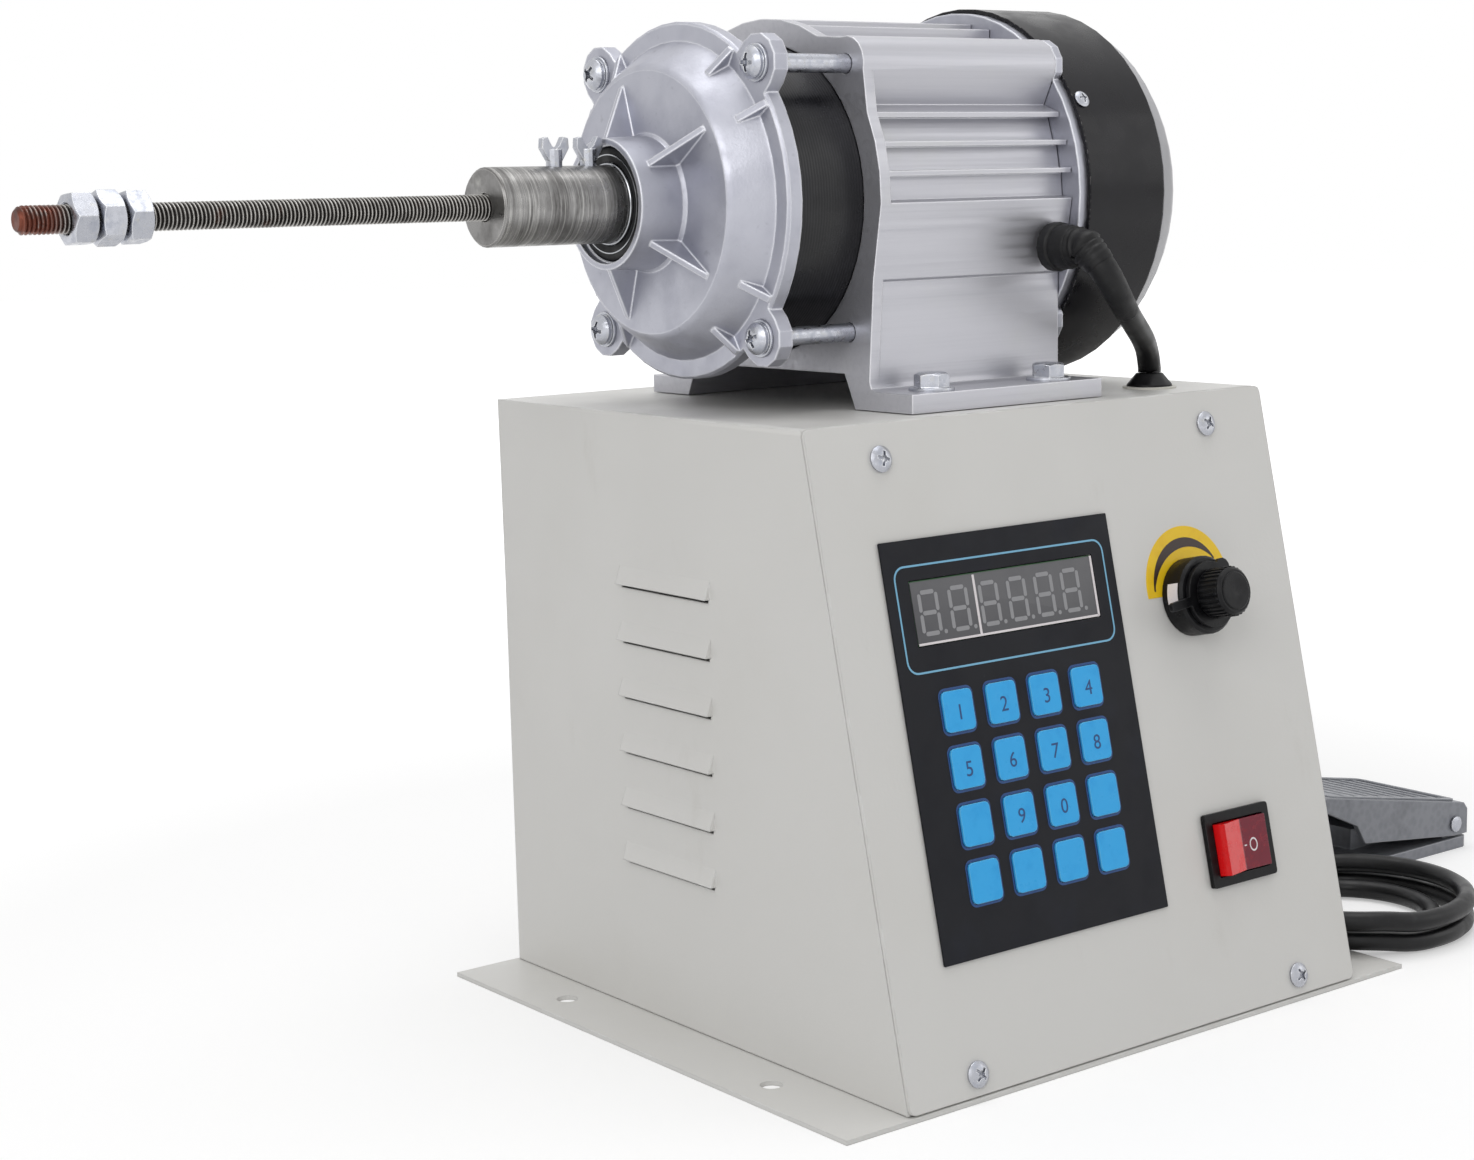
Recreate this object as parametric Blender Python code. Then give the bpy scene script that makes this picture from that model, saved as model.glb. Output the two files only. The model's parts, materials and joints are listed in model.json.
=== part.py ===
"""Bench coil winding machine: a motor on a sheet metal cabinet turns a threaded spindle.

The origin is on the table, under the middle of the cabinet. X points right along the spindle's line,
Y points to the rear and Z points up. The spindle sticks out to the left, towards minus X.
"""

import math

import bmesh
import bpy
from mathutils import Matrix, Vector

MM = 0.001

# Clearances
GAP = 0.3 * MM
OVERRUN = 2 * MM

# Cabinet
CABINET_WIDTH = 200 * MM
CABINET_DEPTH = 210 * MM
CABINET_HEIGHT = 200 * MM
FRONT_SETBACK = 45 * MM
SHEET = 1.2 * MM
BEND_RADIUS = 2 * MM
BASE_SHEET = 1.5 * MM
BASE_FLANGE = 25 * MM
FLANGE_HOLE_RADIUS = 3.5 * MM
FLANGE_HOLE_SPACING = 110 * MM
LOUVRE_COUNT = 6
LOUVRE_LENGTH = 48 * MM
LOUVRE_HEIGHT = 6 * MM
LOUVRE_DEPTH = 2.2 * MM
LOUVRE_PITCH = 18.4 * MM
LOUVRE_LOWEST = 52 * MM
LOUVRE_MIDDLE_Y = 11 * MM

# Control panel, measured across from the middle and up along the sloping front
OVERLAY_WIDTH = 96 * MM
OVERLAY_HEIGHT = 127 * MM
OVERLAY_SHEET = 0.6 * MM
OVERLAY_CENTRE_X = -31 * MM
OVERLAY_CENTRE_V = 105.5 * MM
DISPLAY_WIDTH = 77 * MM
DISPLAY_HEIGHT = 19.6 * MM
DISPLAY_CENTRE_V = 146.6 * MM
KEY_COLUMNS = 4
KEY_ROWS = 4
KEY_PITCH_X = 18.2 * MM
KEY_PITCH_V = 17.3 * MM
KEY_WIDTH = 12 * MM
KEY_HEIGHT = 12.5 * MM
KEY_THICKNESS = 0.9 * MM
KEY_TRAVEL = 0.4 * MM
KEY_CORNER = 1.6 * MM
KEYS_CENTRE_V = 90 * MM
BOARD_SHEET = 1.6 * MM
BOARD_DEPTH = 12 * MM
BOARD_MARGIN = 6 * MM
BOARD_POST_RADIUS = 3 * MM

# Rocker switch
ROCKER_X = 53.6 * MM
ROCKER_V = 55.5 * MM
ROCKER_BEZEL_WIDTH = 30.4 * MM
ROCKER_BEZEL_HEIGHT = 24 * MM
ROCKER_BEZEL_RISE = 2 * MM
ROCKER_BODY_MARGIN = 2 * MM
ROCKER_BODY_DEPTH = 20 * MM
ROCKER_WALL = 2.2 * MM
ROCKER_CLEARANCE = 0.5 * MM
ROCKER_THROW = math.radians(8)
ROCKER_CROWN = 4.6 * MM
ROCKER_VALLEY = 2.6 * MM
ROCKER_KEEL = 4 * MM

# Speed dial
DIAL_X = 50 * MM
DIAL_V = 138 * MM
COLLAR_RADIUS = 12.8 * MM
COLLAR_HEIGHT = 8.6 * MM
KNOB_RADIUS = 7.8 * MM
KNOB_HEIGHT = 9.5 * MM
KNOB_FLAT_CHAMFER = 0.8 * MM
LOCK_RING_RADIUS = 10.8 * MM
LOCK_THICKNESS = 1.6 * MM
LOCK_LEVER_REACH = 13.5 * MM
LOCK_LEVER_WIDTH = 6 * MM
LOCK_LEVER_ANGLE = math.radians(50)
LOCK_PEG_REACH = 19.6 * MM
LOCK_PEG_WIDTH = 3 * MM
LOCK_PEG_ANGLE = math.radians(187)
POT_RADIUS = 11 * MM
POT_DEPTH = 19 * MM
BUSH_RADIUS = 4.7 * MM
POT_SHAFT_RADIUS = 3 * MM

# Motor, along the spindle's line; stations count to the left from the cabinet's middle plane
SPINDLE_Y = 20 * MM
SPINDLE_HEIGHT = 66 * MM
STATOR_RADIUS = 49.2 * MM
STATOR_BORE = 28.5 * MM
STATOR_REAR = -24 * MM
BELL_FRONT = 112.8 * MM
BELL_REAR = 79 * MM
BELL_RADIUS = 56 * MM
BELL_EAR_RADIUS = 9 * MM
BELL_EAR_THICKNESS = 5.3 * MM
BELL_RIB_COUNT = 5
BELL_RIB_THICKNESS = 2 * MM
BELL_GUSSET_ANGLE = math.radians(12.5)
BELL_GUSSET_THICKNESS = 2.4 * MM
BOLT_OFFSET = 41.5 * MM
BOLT_RADIUS = 2.9 * MM
BOLT_HEAD_RADIUS = 5 * MM
BOLT_HEAD_HEIGHT = 4.2 * MM
HOUSING_FRONT = 49 * MM
HOUSING_REAR = -33.5 * MM
HOUSING_RIM = 4 * MM
HOUSING_ROOT_RADIUS = 53 * MM
HOUSING_TIP_RADIUS = 57.5 * MM
HOUSING_COLUMN_RADIUS = 8.6 * MM
HOUSING_PAD_TOP = -1.4 * MM
HOUSING_PAD_BOTTOM = -25 * MM
HOUSING_WEB_HALF = 51 * MM
FIN_THICKNESS = 1.6 * MM
FIN_PITCH = 9 * MM
SIDE_FIN_COUNT = 3
TOP_FIN_COUNT = 4
FOOT_NEAR = 71 * MM
FOOT_FAR = 64 * MM
FOOT_THICKNESS = 6 * MM
FOOT_FILLET = 3 * MM
ARCH_HALF = 44 * MM
ARCH_HEIGHT = 11 * MM
ARCH_SLOPE = 5 * MM
FOOT_BOLT_RADIUS = 3.4 * MM
FOOT_BOLT_NEAR = 62 * MM
FOOT_BOLT_FAR = 57.5 * MM
FOOT_BOLT_SPACING = 51 * MM
FRONT_BEARING_RADIUS = 17.5 * MM
FRONT_BEARING_WIDTH = 11 * MM
FRONT_BEARING_RECESS = 2.6 * MM
FRONT_SHAFT_RADIUS = 7.5 * MM
REAR_BEARING_RADIUS = 16 * MM
REAR_BEARING_WIDTH = 10 * MM
REAR_SHAFT_RADIUS = 6 * MM
BEARING_SHOULDER = 1.6 * MM
REAR_BELL_SHEET = 3.2 * MM
REAR_BELL_RIM = 5 * MM
COVER_RADIUS = 62.5 * MM
COVER_SHEET = 1.2 * MM
COVER_REAR = -73 * MM
GRILLE_RADIUS = 51 * MM
GRILLE_REAR = -87.5 * MM
GRILLE_SHEET = 1.6 * MM
GRILLE_SLOTS = 8
GRILLE_SLOT_WIDTH = 7 * MM
FAN_RADIUS = 54 * MM
FAN_BLADES = 7
FAN_BLADE_THICKNESS = 1.6 * MM
FAN_BLADE_WIDTH = 15 * MM
FAN_HUB_RADIUS = 9 * MM
FAN_SHAFT_RADIUS = 5 * MM
ROTOR_RADIUS = 27.8 * MM
ROTOR_LENGTH = 86 * MM

# Spindle tooling
COUPLER_RADIUS = 12 * MM
COUPLER_REAR = 111 * MM
COUPLER_LENGTH = 45.5 * MM
COUPLER_SHAFT_DEPTH = 12.8 * MM
ROD_RADIUS = 4 * MM
ROD_TIP = 303 * MM
ROD_CHAMFER = 1.2 * MM
NUT_ACROSS_FLATS = 13.4 * MM
NUT_THICKNESS = 7.2 * MM
NUT_SEPARATION = 0.8 * MM
NUTS_OUTER_END = 289 * MM
WING_SCREW_RADIUS = 2.5 * MM
WING_SCREW_SPACING = 12.6 * MM
WING_SCREW_FIRST = 7.2 * MM
WING_WIDTH = 9.6 * MM
WING_HEIGHT = 7.5 * MM
WING_THICKNESS = 2.4 * MM
WING_NECK = 1.2 * MM

# Motor lead
GLAND_X = 25 * MM
GLAND_DROP = 17 * MM
GLAND_RADIUS = 8 * MM
GLAND_FLANGE = 4 * MM
GLAND_NUT_RADIUS = 7.2 * MM
GLAND_NUT_LENGTH = 4.5 * MM
GLAND_TIP_RADIUS = 5.4 * MM
GLAND_LENGTH = 12 * MM
LEAD_RADIUS = 3.9 * MM
GROMMET_RADIUS = 7.6 * MM
GROMMET_HEIGHT = 5 * MM
GROMMET_HOLE = 6 * MM
GROMMET_X = 70.5 * MM
GROMMET_Y = -37.5 * MM
LEAD_POINTS = 26
LEAD_ROUTE = [
    (25, -50.1, 249), (25, -54, 248.8), (25.6, -58, 245.5), (27.5, -60.2, 239), (32.5, -59.4, 233.5),
    (43.3, -54, 226), (55, -47.8, 219.6), (63.8, -42.4, 215.4), (69.2, -38.5, 212), (70.5, -37.5, 209), (70.5, -37.5, 205.3),
]

# Foot switch and its cord
PEDAL_END_X = 275.5 * MM
PEDAL_Y = 6.5 * MM
PEDAL_LENGTH = 86 * MM
PEDAL_WIDTH = 54 * MM
PEDAL_BASE_HEIGHT = 4.6 * MM
PEDAL_LOW_HEIGHT = 18 * MM
PEDAL_HIGH_HEIGHT = 33.5 * MM
PEDAL_WALL = 2.4 * MM
PEDAL_SKIRT_LIFT = 1 * MM
PEDAL_TOE_LIFT = 9 * MM
PEDAL_SKIRT_END = 64 * MM
PEDAL_LIP = 4 * MM
PEDAL_PIN_INSET = 8 * MM
PEDAL_PIN_HEIGHT = 10.5 * MM
PEDAL_PIN_RADIUS = 2 * MM
PEDAL_PIN_HEAD = 3.2 * MM
PEDAL_PIN_HEAD_HEIGHT = 1.4 * MM
PEDAL_POST_WIDTH = 22 * MM
PEDAL_POST_HEIGHT = 13 * MM
PEDAL_BOSS_RADIUS = 4.4 * MM
PEDAL_BOSS_LENGTH = 6 * MM
CORD_RADIUS = 3.5 * MM
CORD_GLAND_X = 80 * MM
CORD_GLAND_Z = 25 * MM
CORD_GLAND_RADIUS = 7 * MM
CORD_GLAND_LENGTH = 14 * MM
CORD_GLAND_TIP = 4.3 * MM
CORD_LEAD_POINTS = 34
CORD_TAIL_POINTS = 16
CORD_LEAD_ROUTE = [
    (80, 119.3, 25), (80, 127, 24.8), (80.4, 141, 21.5), (84.6, 155, 14.8), (94.8, 165.8, 8.2), (109, 170, 4.5),
    (123.5, 166.1, 3.7), (134.1, 155.5, 3.7), (138, 140, 3.7), (135.8, 119, 3.7), (127.5, 96, 4.8), (118, 74, 5.5),
    (112, 52, 5.5),
    (109.5, 30, 5.5), (110.4, 12, 5.5), (116, -1.5, 5.5), (126.5, -10.3, 5.5), (139, -13, 3.9), (146.2, -13, 3.7),
]
CORD_TAIL_ROUTE = [
    (109, -49.7, 13.2), (109, -41, 13.2), (110.2, -30, 13), (114.3, -17.5, 13.2), (122.5, -6.5, 12.9),
    (135, 1.8, 9.8), (149, 5.8, 6.2), (163, 6.5, 6.2), (174, 6.5, 8.2), (183.2, 6.5, 8.4),
]
COIL_CENTRE_X = 153.5 * MM
COIL_CENTRE_Y = -57 * MM
COIL_HALF_X = 46.5 * MM
COIL_HALF_Y = 44 * MM
COIL_TURNS = 2.75
COIL_TURN_POINTS = 24
COIL_INMOST = 14 * MM
COIL_INMOST_TURN = 1.5
COIL_TOP_INWARD = 2 * MM
COIL_TOP_TURN = 2.3
COIL_CLIMB_FROM = 1.45
COIL_CLIMB_TO = 1.8
COIL_LAYER_STEP = 7.7 * MM
COIL_FLOOR = 3.7 * MM
COIL_OVER_FLANGE = 1.8 * MM
COIL_FLANGE_EDGE = 129 * MM
COIL_FLANGE_RUN = 14 * MM

# Pieces inside and behind the cabinet
SUPPLY_WIDTH = 110 * MM
SUPPLY_DEPTH = 78 * MM
SUPPLY_HEIGHT = 36 * MM
SUPPLY_X = -25 * MM
SUPPLY_Y = 40 * MM
SUPPLY_BEVEL = 2 * MM
INLET_X = 30 * MM
INLET_Z = 60 * MM
INLET_FLANGE_WIDTH = 48 * MM
INLET_FLANGE_HEIGHT = 23 * MM
INLET_FLANGE_DEPTH = 3 * MM
INLET_BODY_WIDTH = 28 * MM
INLET_BODY_HEIGHT = 20 * MM
INLET_BODY_DEPTH = 20 * MM
INLET_WALL = 1.8 * MM
INLET_PIN_RADIUS = 1.4 * MM
INLET_PIN_SPACING = 7 * MM
INLET_PIN_LENGTH = 9 * MM

# Sizes that follow from those above
TILT = math.atan2(FRONT_SETBACK, CABINET_HEIGHT)
FRONT_LENGTH = math.hypot(FRONT_SETBACK, CABINET_HEIGHT)
FLOOR_OF_BODY = BASE_SHEET + GAP
SPINDLE_Z = CABINET_HEIGHT + SPINDLE_HEIGHT
FOOT_BOTTOM = GAP - SPINDLE_HEIGHT
REAR_BELL_FRONT = HOUSING_REAR - GAP
REAR_BELL_REAR = REAR_BELL_FRONT - REAR_BELL_SHEET
COVER_FRONT = REAR_BELL_REAR - GAP
COUPLER_FRONT = COUPLER_REAR + COUPLER_LENGTH
SHAFT_END = COUPLER_REAR + COUPLER_SHAFT_DEPTH - GAP
ROD_INNER_END = SHAFT_END + 2 * GAP
PAD_Y = SPINDLE_Y - HOUSING_TIP_RADIUS
GLAND_Z = SPINDLE_Z - GLAND_DROP
KEY_FLOOR = KEY_TRAVEL + GAP
HEX = 6
FINE_SIDES = 48
SIDES = 32
SMALL_SIDES = 16


# Materials

def finish(name, colour, roughness, metallic=0.0):
    """A plain surface finish: colour, roughness and whether it is bare metal."""
    material = bpy.data.materials.new(name)
    material.use_nodes = True
    shader = material.node_tree.nodes["Principled BSDF"]
    shader.inputs["Base Color"].default_value = (*colour, 1.0)
    shader.inputs["Roughness"].default_value = roughness
    shader.inputs["Metallic"].default_value = metallic
    material.diffuse_color = (*colour, 1.0)
    return material


# Finishes are made once for each piece, so every piece keeps its own.
CREAM_PAINT = ((0.52, 0.52, 0.49), 0.45, 0.0)
CAST_ALUMINIUM = ((0.45, 0.46, 0.49), 0.38, 1.0)
EXTRUDED_ALUMINIUM = ((0.6, 0.6, 0.62), 0.35, 1.0)
BLACK_PAINT = ((0.02, 0.02, 0.025), 0.25, 0.0)
STATOR_STEEL = ((0.03, 0.03, 0.032), 0.45, 0.6)
TURNED_STEEL = ((0.2, 0.2, 0.2), 0.4, 1.0)
BRIGHT_ZINC = ((0.7, 0.72, 0.74), 0.25, 1.0)
BEARING_STEEL = ((0.5, 0.5, 0.5), 0.25, 1.0)
OVERLAY_FILM = ((0.025, 0.028, 0.036), 0.4, 0.0)
KEY_BLUE = ((0.08, 0.44, 0.8), 0.45, 0.0)
BOARD_GREEN = ((0.03, 0.2, 0.08), 0.5, 0.0)
SUPPLY_STEEL = ((0.5, 0.5, 0.52), 0.4, 1.0)
BLACK_PLASTIC = ((0.015, 0.015, 0.015), 0.4, 0.0)
ROCKER_RED = ((0.75, 0.02, 0.02), 0.25, 0.0)
RUBBER = ((0.012, 0.012, 0.014), 0.55, 0.0)
PEDAL_GREY = ((0.2, 0.205, 0.22), 0.55, 0.0)


# Building blocks

def clear_scene():
    for item in list(bpy.data.objects):
        bpy.data.objects.remove(item, do_unlink=True)


def add_frame(name, location, rotation=(0, 0, 0)):
    """An empty that carries a group of pieces."""
    frame = bpy.data.objects.new(name, None)
    frame.location = location
    frame.rotation_euler = rotation
    bpy.context.collection.objects.link(frame)
    return frame


def add_piece(name, shape, look=None, parent=None, location=(0, 0, 0), rotation=(0, 0, 0)):
    """Turn a bmesh into an object. With no look it is a cutter or a guide."""
    bmesh.ops.remove_doubles(shape, verts=shape.verts, dist=GAP / SMALL_SIDES)
    bmesh.ops.recalc_face_normals(shape, faces=shape.faces)
    mesh = bpy.data.meshes.new(name)
    shape.to_mesh(mesh)
    shape.free()
    piece = bpy.data.objects.new(name, mesh)
    bpy.context.collection.objects.link(piece)
    piece.parent = parent
    piece.location = location
    piece.rotation_euler = rotation
    if look is None:
        piece.hide_render = True
        piece.display_type = "WIRE"
    else:
        mesh.materials.append(finish(name, *look))
        mesh.shade_smooth()
        mesh.set_sharp_from_angle(angle=math.radians(35))
    return piece


def join_shapes(piece, other, operation):
    """Cut one object with another, or add it, or keep what both share."""
    change = piece.modifiers.new(other.name, "BOOLEAN")
    change.operation = operation
    change.object = other
    change.solver = "EXACT"


def prism(outline, low, high, shape=None):
    """A flat outline in X and Y, pulled from one height to another."""
    shape = shape or bmesh.new()
    corners = [shape.verts.new((x, y, low)) for x, y in outline]
    face = shape.faces.new(corners)
    pulled = bmesh.ops.extrude_face_region(shape, geom=[face])
    moved = [item for item in pulled["geom"] if isinstance(item, bmesh.types.BMVert)]
    bmesh.ops.translate(shape, verts=moved, vec=(0, 0, high - low))
    return shape


def box(size, centre, shape=None):
    shape = shape or bmesh.new()
    made = bmesh.ops.create_cube(shape, size=1)["verts"]
    bmesh.ops.scale(shape, verts=made, vec=size)
    bmesh.ops.translate(shape, verts=made, vec=centre)
    return shape


def cylinder(radius, low, high, sides, centre=(0, 0), shape=None):
    shape = shape or bmesh.new()
    made = bmesh.ops.create_cone(
        shape, cap_ends=True, segments=sides, radius1=radius, radius2=radius, depth=high - low
    )["verts"]
    bmesh.ops.translate(shape, verts=made, vec=(*centre, (low + high) / 2))
    return shape


def turned(profile, sides, closed=False):
    """Spin a profile of radius and station points round the Z axis."""
    shape = bmesh.new()
    points = [shape.verts.new((radius, 0, station)) for radius, station in profile]
    lines = [shape.edges.new(pair) for pair in zip(points, points[1:])]
    if closed:
        lines.append(shape.edges.new((points[-1], points[0])))
    bmesh.ops.spin(
        shape, geom=points + lines, cent=(0, 0, 0), axis=(0, 0, 1),
        angle=math.tau, steps=sides, use_merge=True,
    )
    return shape


def rounded_outline(width, height, radius, steps=3, centre=(0, 0)):
    """A rectangle with round corners, as points in order."""
    outline = []
    for turn, (side, level) in enumerate([(1, 1), (-1, 1), (-1, -1), (1, -1)]):
        middle_x = centre[0] + side * (width / 2 - radius)
        middle_y = centre[1] + level * (height / 2 - radius)
        for step in range(steps + 1):
            angle = (turn + step / steps) * math.pi / 2
            outline.append((middle_x + radius * math.cos(angle), middle_y + radius * math.sin(angle)))
    return outline


def on_front_panel(name, shape, look, frame, x=0.0, v=0.0, n=0.0, rotation=(0, 0, 0)):
    """Place a piece on the sloping front, n metres out from its face."""
    return add_piece(name, shape, look, frame, (x, v, n), rotation)


# Cabinet

def front_y(z, inset):
    """Where the sloping front, moved inwards by the inset, lies at height z."""
    return inset / math.cos(TILT) - CABINET_DEPTH / 2 + z * math.tan(TILT)


def side_outline(low, high, rear, inset):
    """The cabinet's side view, as Y and Z points."""
    return [(front_y(low, inset), low), (front_y(high, inset), high), (rear, high), (rear, low)]


def across(outline, half_width):
    """A prism of a side view that runs from left to right."""
    shape = prism(outline, -half_width, half_width)
    turn = Matrix(((0, 0, 1, 0), (1, 0, 0, 0), (0, 1, 0, 0), (0, 0, 0, 1)))
    shape.transform(turn)
    return shape


def louvre_wedges(side, thickness, drop):
    """The pressed hoods of one side, or the hollows behind them."""
    shape = bmesh.new()
    wall = side * CABINET_WIDTH / 2
    half = LOUVRE_LENGTH / 2 - thickness
    for row in range(LOUVRE_COUNT):
        low = LOUVRE_LOWEST + row * LOUVRE_PITCH - drop
        high = low + LOUVRE_HEIGHT - thickness
        reach = wall + side * (LOUVRE_DEPTH - thickness)
        root = wall - side * (SHEET / 2 if thickness == 0 else SHEET + OVERRUN)
        section = [(root, low), (reach, low), (wall - side * thickness, high), (root, high)]
        corners = []
        for y in (LOUVRE_MIDDLE_Y - half, LOUVRE_MIDDLE_Y + half):
            corners.append([shape.verts.new((x, y, z)) for x, z in section])
        shape.faces.new(corners[0])
        shape.faces.new(corners[1])
        for index in range(len(section)):
            after = (index + 1) % len(section)
            shape.faces.new((corners[0][index], corners[0][after], corners[1][after], corners[1][index]))
    return shape


def make_body_shell():
    inset = SHEET + GAP
    half = CABINET_WIDTH / 2
    rear = CABINET_DEPTH / 2
    shape = across(side_outline(FLOOR_OF_BODY, CABINET_HEIGHT, rear, inset), half)
    corners = [
        edge for edge in shape.edges
        if all(v.co.y > rear - OVERRUN for v in edge.verts) != all(v.co.z > CABINET_HEIGHT - OVERRUN for v in edge.verts)
        and not all(v.co.z < FLOOR_OF_BODY + OVERRUN for v in edge.verts)
        and abs(edge.verts[0].co.x - edge.verts[1].co.x) < OVERRUN
    ]
    bmesh.ops.bevel(shape, geom=corners, offset=BEND_RADIUS, segments=2, profile=0.5, affect="EDGES")
    shell = add_piece("body_shell", shape, CREAM_PAINT)
    inside = across(side_outline(-OVERRUN, CABINET_HEIGHT - SHEET, rear - SHEET, -CABINET_DEPTH / 2), half - SHEET)
    join_shapes(shell, add_piece("guide_inside", inside), "DIFFERENCE")
    for side, word in ((-1, "left"), (1, "right")):
        hoods = add_piece(f"guide_hoods_{word}", louvre_wedges(side, 0, 0))
        join_shapes(shell, hoods, "UNION")
        slots = add_piece(f"guide_slots_{word}", louvre_wedges(side, SHEET * 2 / 3, SHEET))
        join_shapes(shell, slots, "DIFFERENCE")
    holes = bmesh.new()
    for x, y in foot_bolt_places():
        cylinder(FOOT_BOLT_RADIUS, CABINET_HEIGHT - SHEET - OVERRUN, CABINET_HEIGHT + OVERRUN, SMALL_SIDES, (x, y), holes)
    cylinder(
        GROMMET_HOLE, CABINET_HEIGHT - SHEET - OVERRUN, CABINET_HEIGHT + OVERRUN,
        SMALL_SIDES, (GROMMET_X, GROMMET_Y), holes,
    )
    box(
        (INLET_BODY_WIDTH + 2 * GAP, SHEET + 2 * OVERRUN, INLET_BODY_HEIGHT + 2 * GAP),
        (INLET_X, rear - SHEET / 2, INLET_Z), holes,
    )
    join_shapes(shell, add_piece("guide_shell_holes", holes), "DIFFERENCE")
    cord_hole = cylinder(CORD_GLAND_TIP + GAP, -SHEET - OVERRUN, OVERRUN, SMALL_SIDES)
    hole = add_piece("guide_cord_hole", cord_hole, None, None, (CORD_GLAND_X, rear, CORD_GLAND_Z), (-math.pi / 2, 0, 0))
    join_shapes(shell, hole, "DIFFERENCE")


def make_front_panel(frame):
    low = (FLOOR_OF_BODY + SHEET * math.sin(TILT)) / math.cos(TILT)
    shape = box((CABINET_WIDTH, FRONT_LENGTH - low, SHEET), (0, (FRONT_LENGTH + low) / 2, -SHEET / 2))
    uprights = [edge for edge in shape.edges if abs(edge.verts[0].co.z - edge.verts[1].co.z) > SHEET / 2]
    bmesh.ops.bevel(shape, geom=uprights, offset=BEND_RADIUS, segments=2, profile=0.5, affect="EDGES")
    panel = on_front_panel("front_panel", shape, CREAM_PAINT, frame)
    cuts = bmesh.new()
    top = OVERRUN
    bottom = -SHEET - OVERRUN
    display = rounded_outline(
        DISPLAY_WIDTH + 2 * GAP, DISPLAY_HEIGHT + 2 * GAP, GAP, 1, (OVERLAY_CENTRE_X, DISPLAY_CENTRE_V)
    )
    prism(display, bottom, top, cuts)
    rocker = rounded_outline(
        ROCKER_BEZEL_WIDTH - 2 * ROCKER_BODY_MARGIN + 2 * GAP,
        ROCKER_BEZEL_HEIGHT - 2 * ROCKER_BODY_MARGIN + 2 * GAP, GAP, 1, (ROCKER_X, ROCKER_V),
    )
    prism(rocker, bottom, top, cuts)
    cylinder(BUSH_RADIUS + GAP, bottom, top, SMALL_SIDES, (DIAL_X, DIAL_V), cuts)
    join_shapes(panel, on_front_panel("guide_panel_holes", cuts, None, frame), "DIFFERENCE")


def make_base_plate():
    width = CABINET_WIDTH + 2 * BASE_FLANGE
    plate = add_piece("base_plate", box((width, CABINET_DEPTH, BASE_SHEET), (0, 0, BASE_SHEET / 2)), CREAM_PAINT)
    holes = bmesh.new()
    for side in (-1, 1):
        for end in (-1, 1):
            centre = (side * (CABINET_WIDTH + BASE_FLANGE) / 2, end * FLANGE_HOLE_SPACING / 2)
            cylinder(FLANGE_HOLE_RADIUS, -OVERRUN, BASE_SHEET + OVERRUN, SMALL_SIDES, centre, holes)
    join_shapes(plate, add_piece("guide_flange_holes", holes), "DIFFERENCE")


# Control panel

def key_places():
    for row in range(KEY_ROWS):
        for column in range(KEY_COLUMNS):
            x = OVERLAY_CENTRE_X + (column - (KEY_COLUMNS - 1) / 2) * KEY_PITCH_X
            v = KEYS_CENTRE_V + ((KEY_ROWS - 1) / 2 - row) * KEY_PITCH_V
            yield row * KEY_COLUMNS + column + 1, x, v


def make_overlay(frame):
    outline = rounded_outline(OVERLAY_WIDTH, OVERLAY_HEIGHT, GAP, 1, (OVERLAY_CENTRE_X, OVERLAY_CENTRE_V))
    overlay = on_front_panel("keypad_overlay", prism(outline, GAP, GAP + OVERLAY_SHEET), OVERLAY_FILM, frame)
    cuts = bmesh.new()
    window = rounded_outline(
        DISPLAY_WIDTH + 2 * GAP, DISPLAY_HEIGHT + 2 * GAP, GAP, 1, (OVERLAY_CENTRE_X, DISPLAY_CENTRE_V)
    )
    prism(window, -OVERRUN, OVERRUN, cuts)
    for _, x, v in key_places():
        hole = rounded_outline(KEY_WIDTH + 2 * GAP, KEY_HEIGHT + 2 * GAP, KEY_CORNER + GAP, 2, (x, v))
        prism(hole, -OVERRUN, OVERRUN, cuts)
    join_shapes(overlay, on_front_panel("guide_overlay_holes", cuts, None, frame), "DIFFERENCE")


def make_keys(frame):
    for number, x, v in key_places():
        shape = prism(rounded_outline(KEY_WIDTH, KEY_HEIGHT, KEY_CORNER, 2), 0, KEY_THICKNESS)
        on_front_panel(f"key_{number:02d}", shape, KEY_BLUE, frame, x, v, KEY_FLOOR)


def make_control_board(frame):
    """The circuit board with its display block in front and four posts against the panel."""
    back = -SHEET - GAP - BOARD_DEPTH
    size = (OVERLAY_WIDTH - BOARD_MARGIN, OVERLAY_HEIGHT - BOARD_MARGIN, BOARD_SHEET)
    board = on_front_panel(
        "control_board", box(size, (OVERLAY_CENTRE_X, OVERLAY_CENTRE_V, back - BOARD_SHEET / 2)), BOARD_GREEN, frame
    )
    extras = bmesh.new()
    block_low = back - BOARD_SHEET / 2
    block = (DISPLAY_WIDTH, DISPLAY_HEIGHT, GAP - block_low)
    box(block, (OVERLAY_CENTRE_X, DISPLAY_CENTRE_V, (GAP + block_low) / 2), extras)
    for side in (-1, 1):
        for level in (-1, 1):
            centre = (
                OVERLAY_CENTRE_X + side * (size[0] / 2 - BOARD_MARGIN),
                OVERLAY_CENTRE_V + level * (size[1] / 2 - BOARD_MARGIN),
            )
            cylinder(BOARD_POST_RADIUS, block_low, -SHEET - GAP, HEX * 2, centre, extras)
    join_shapes(board, on_front_panel("guide_board_extras", extras, None, frame), "UNION")


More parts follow.
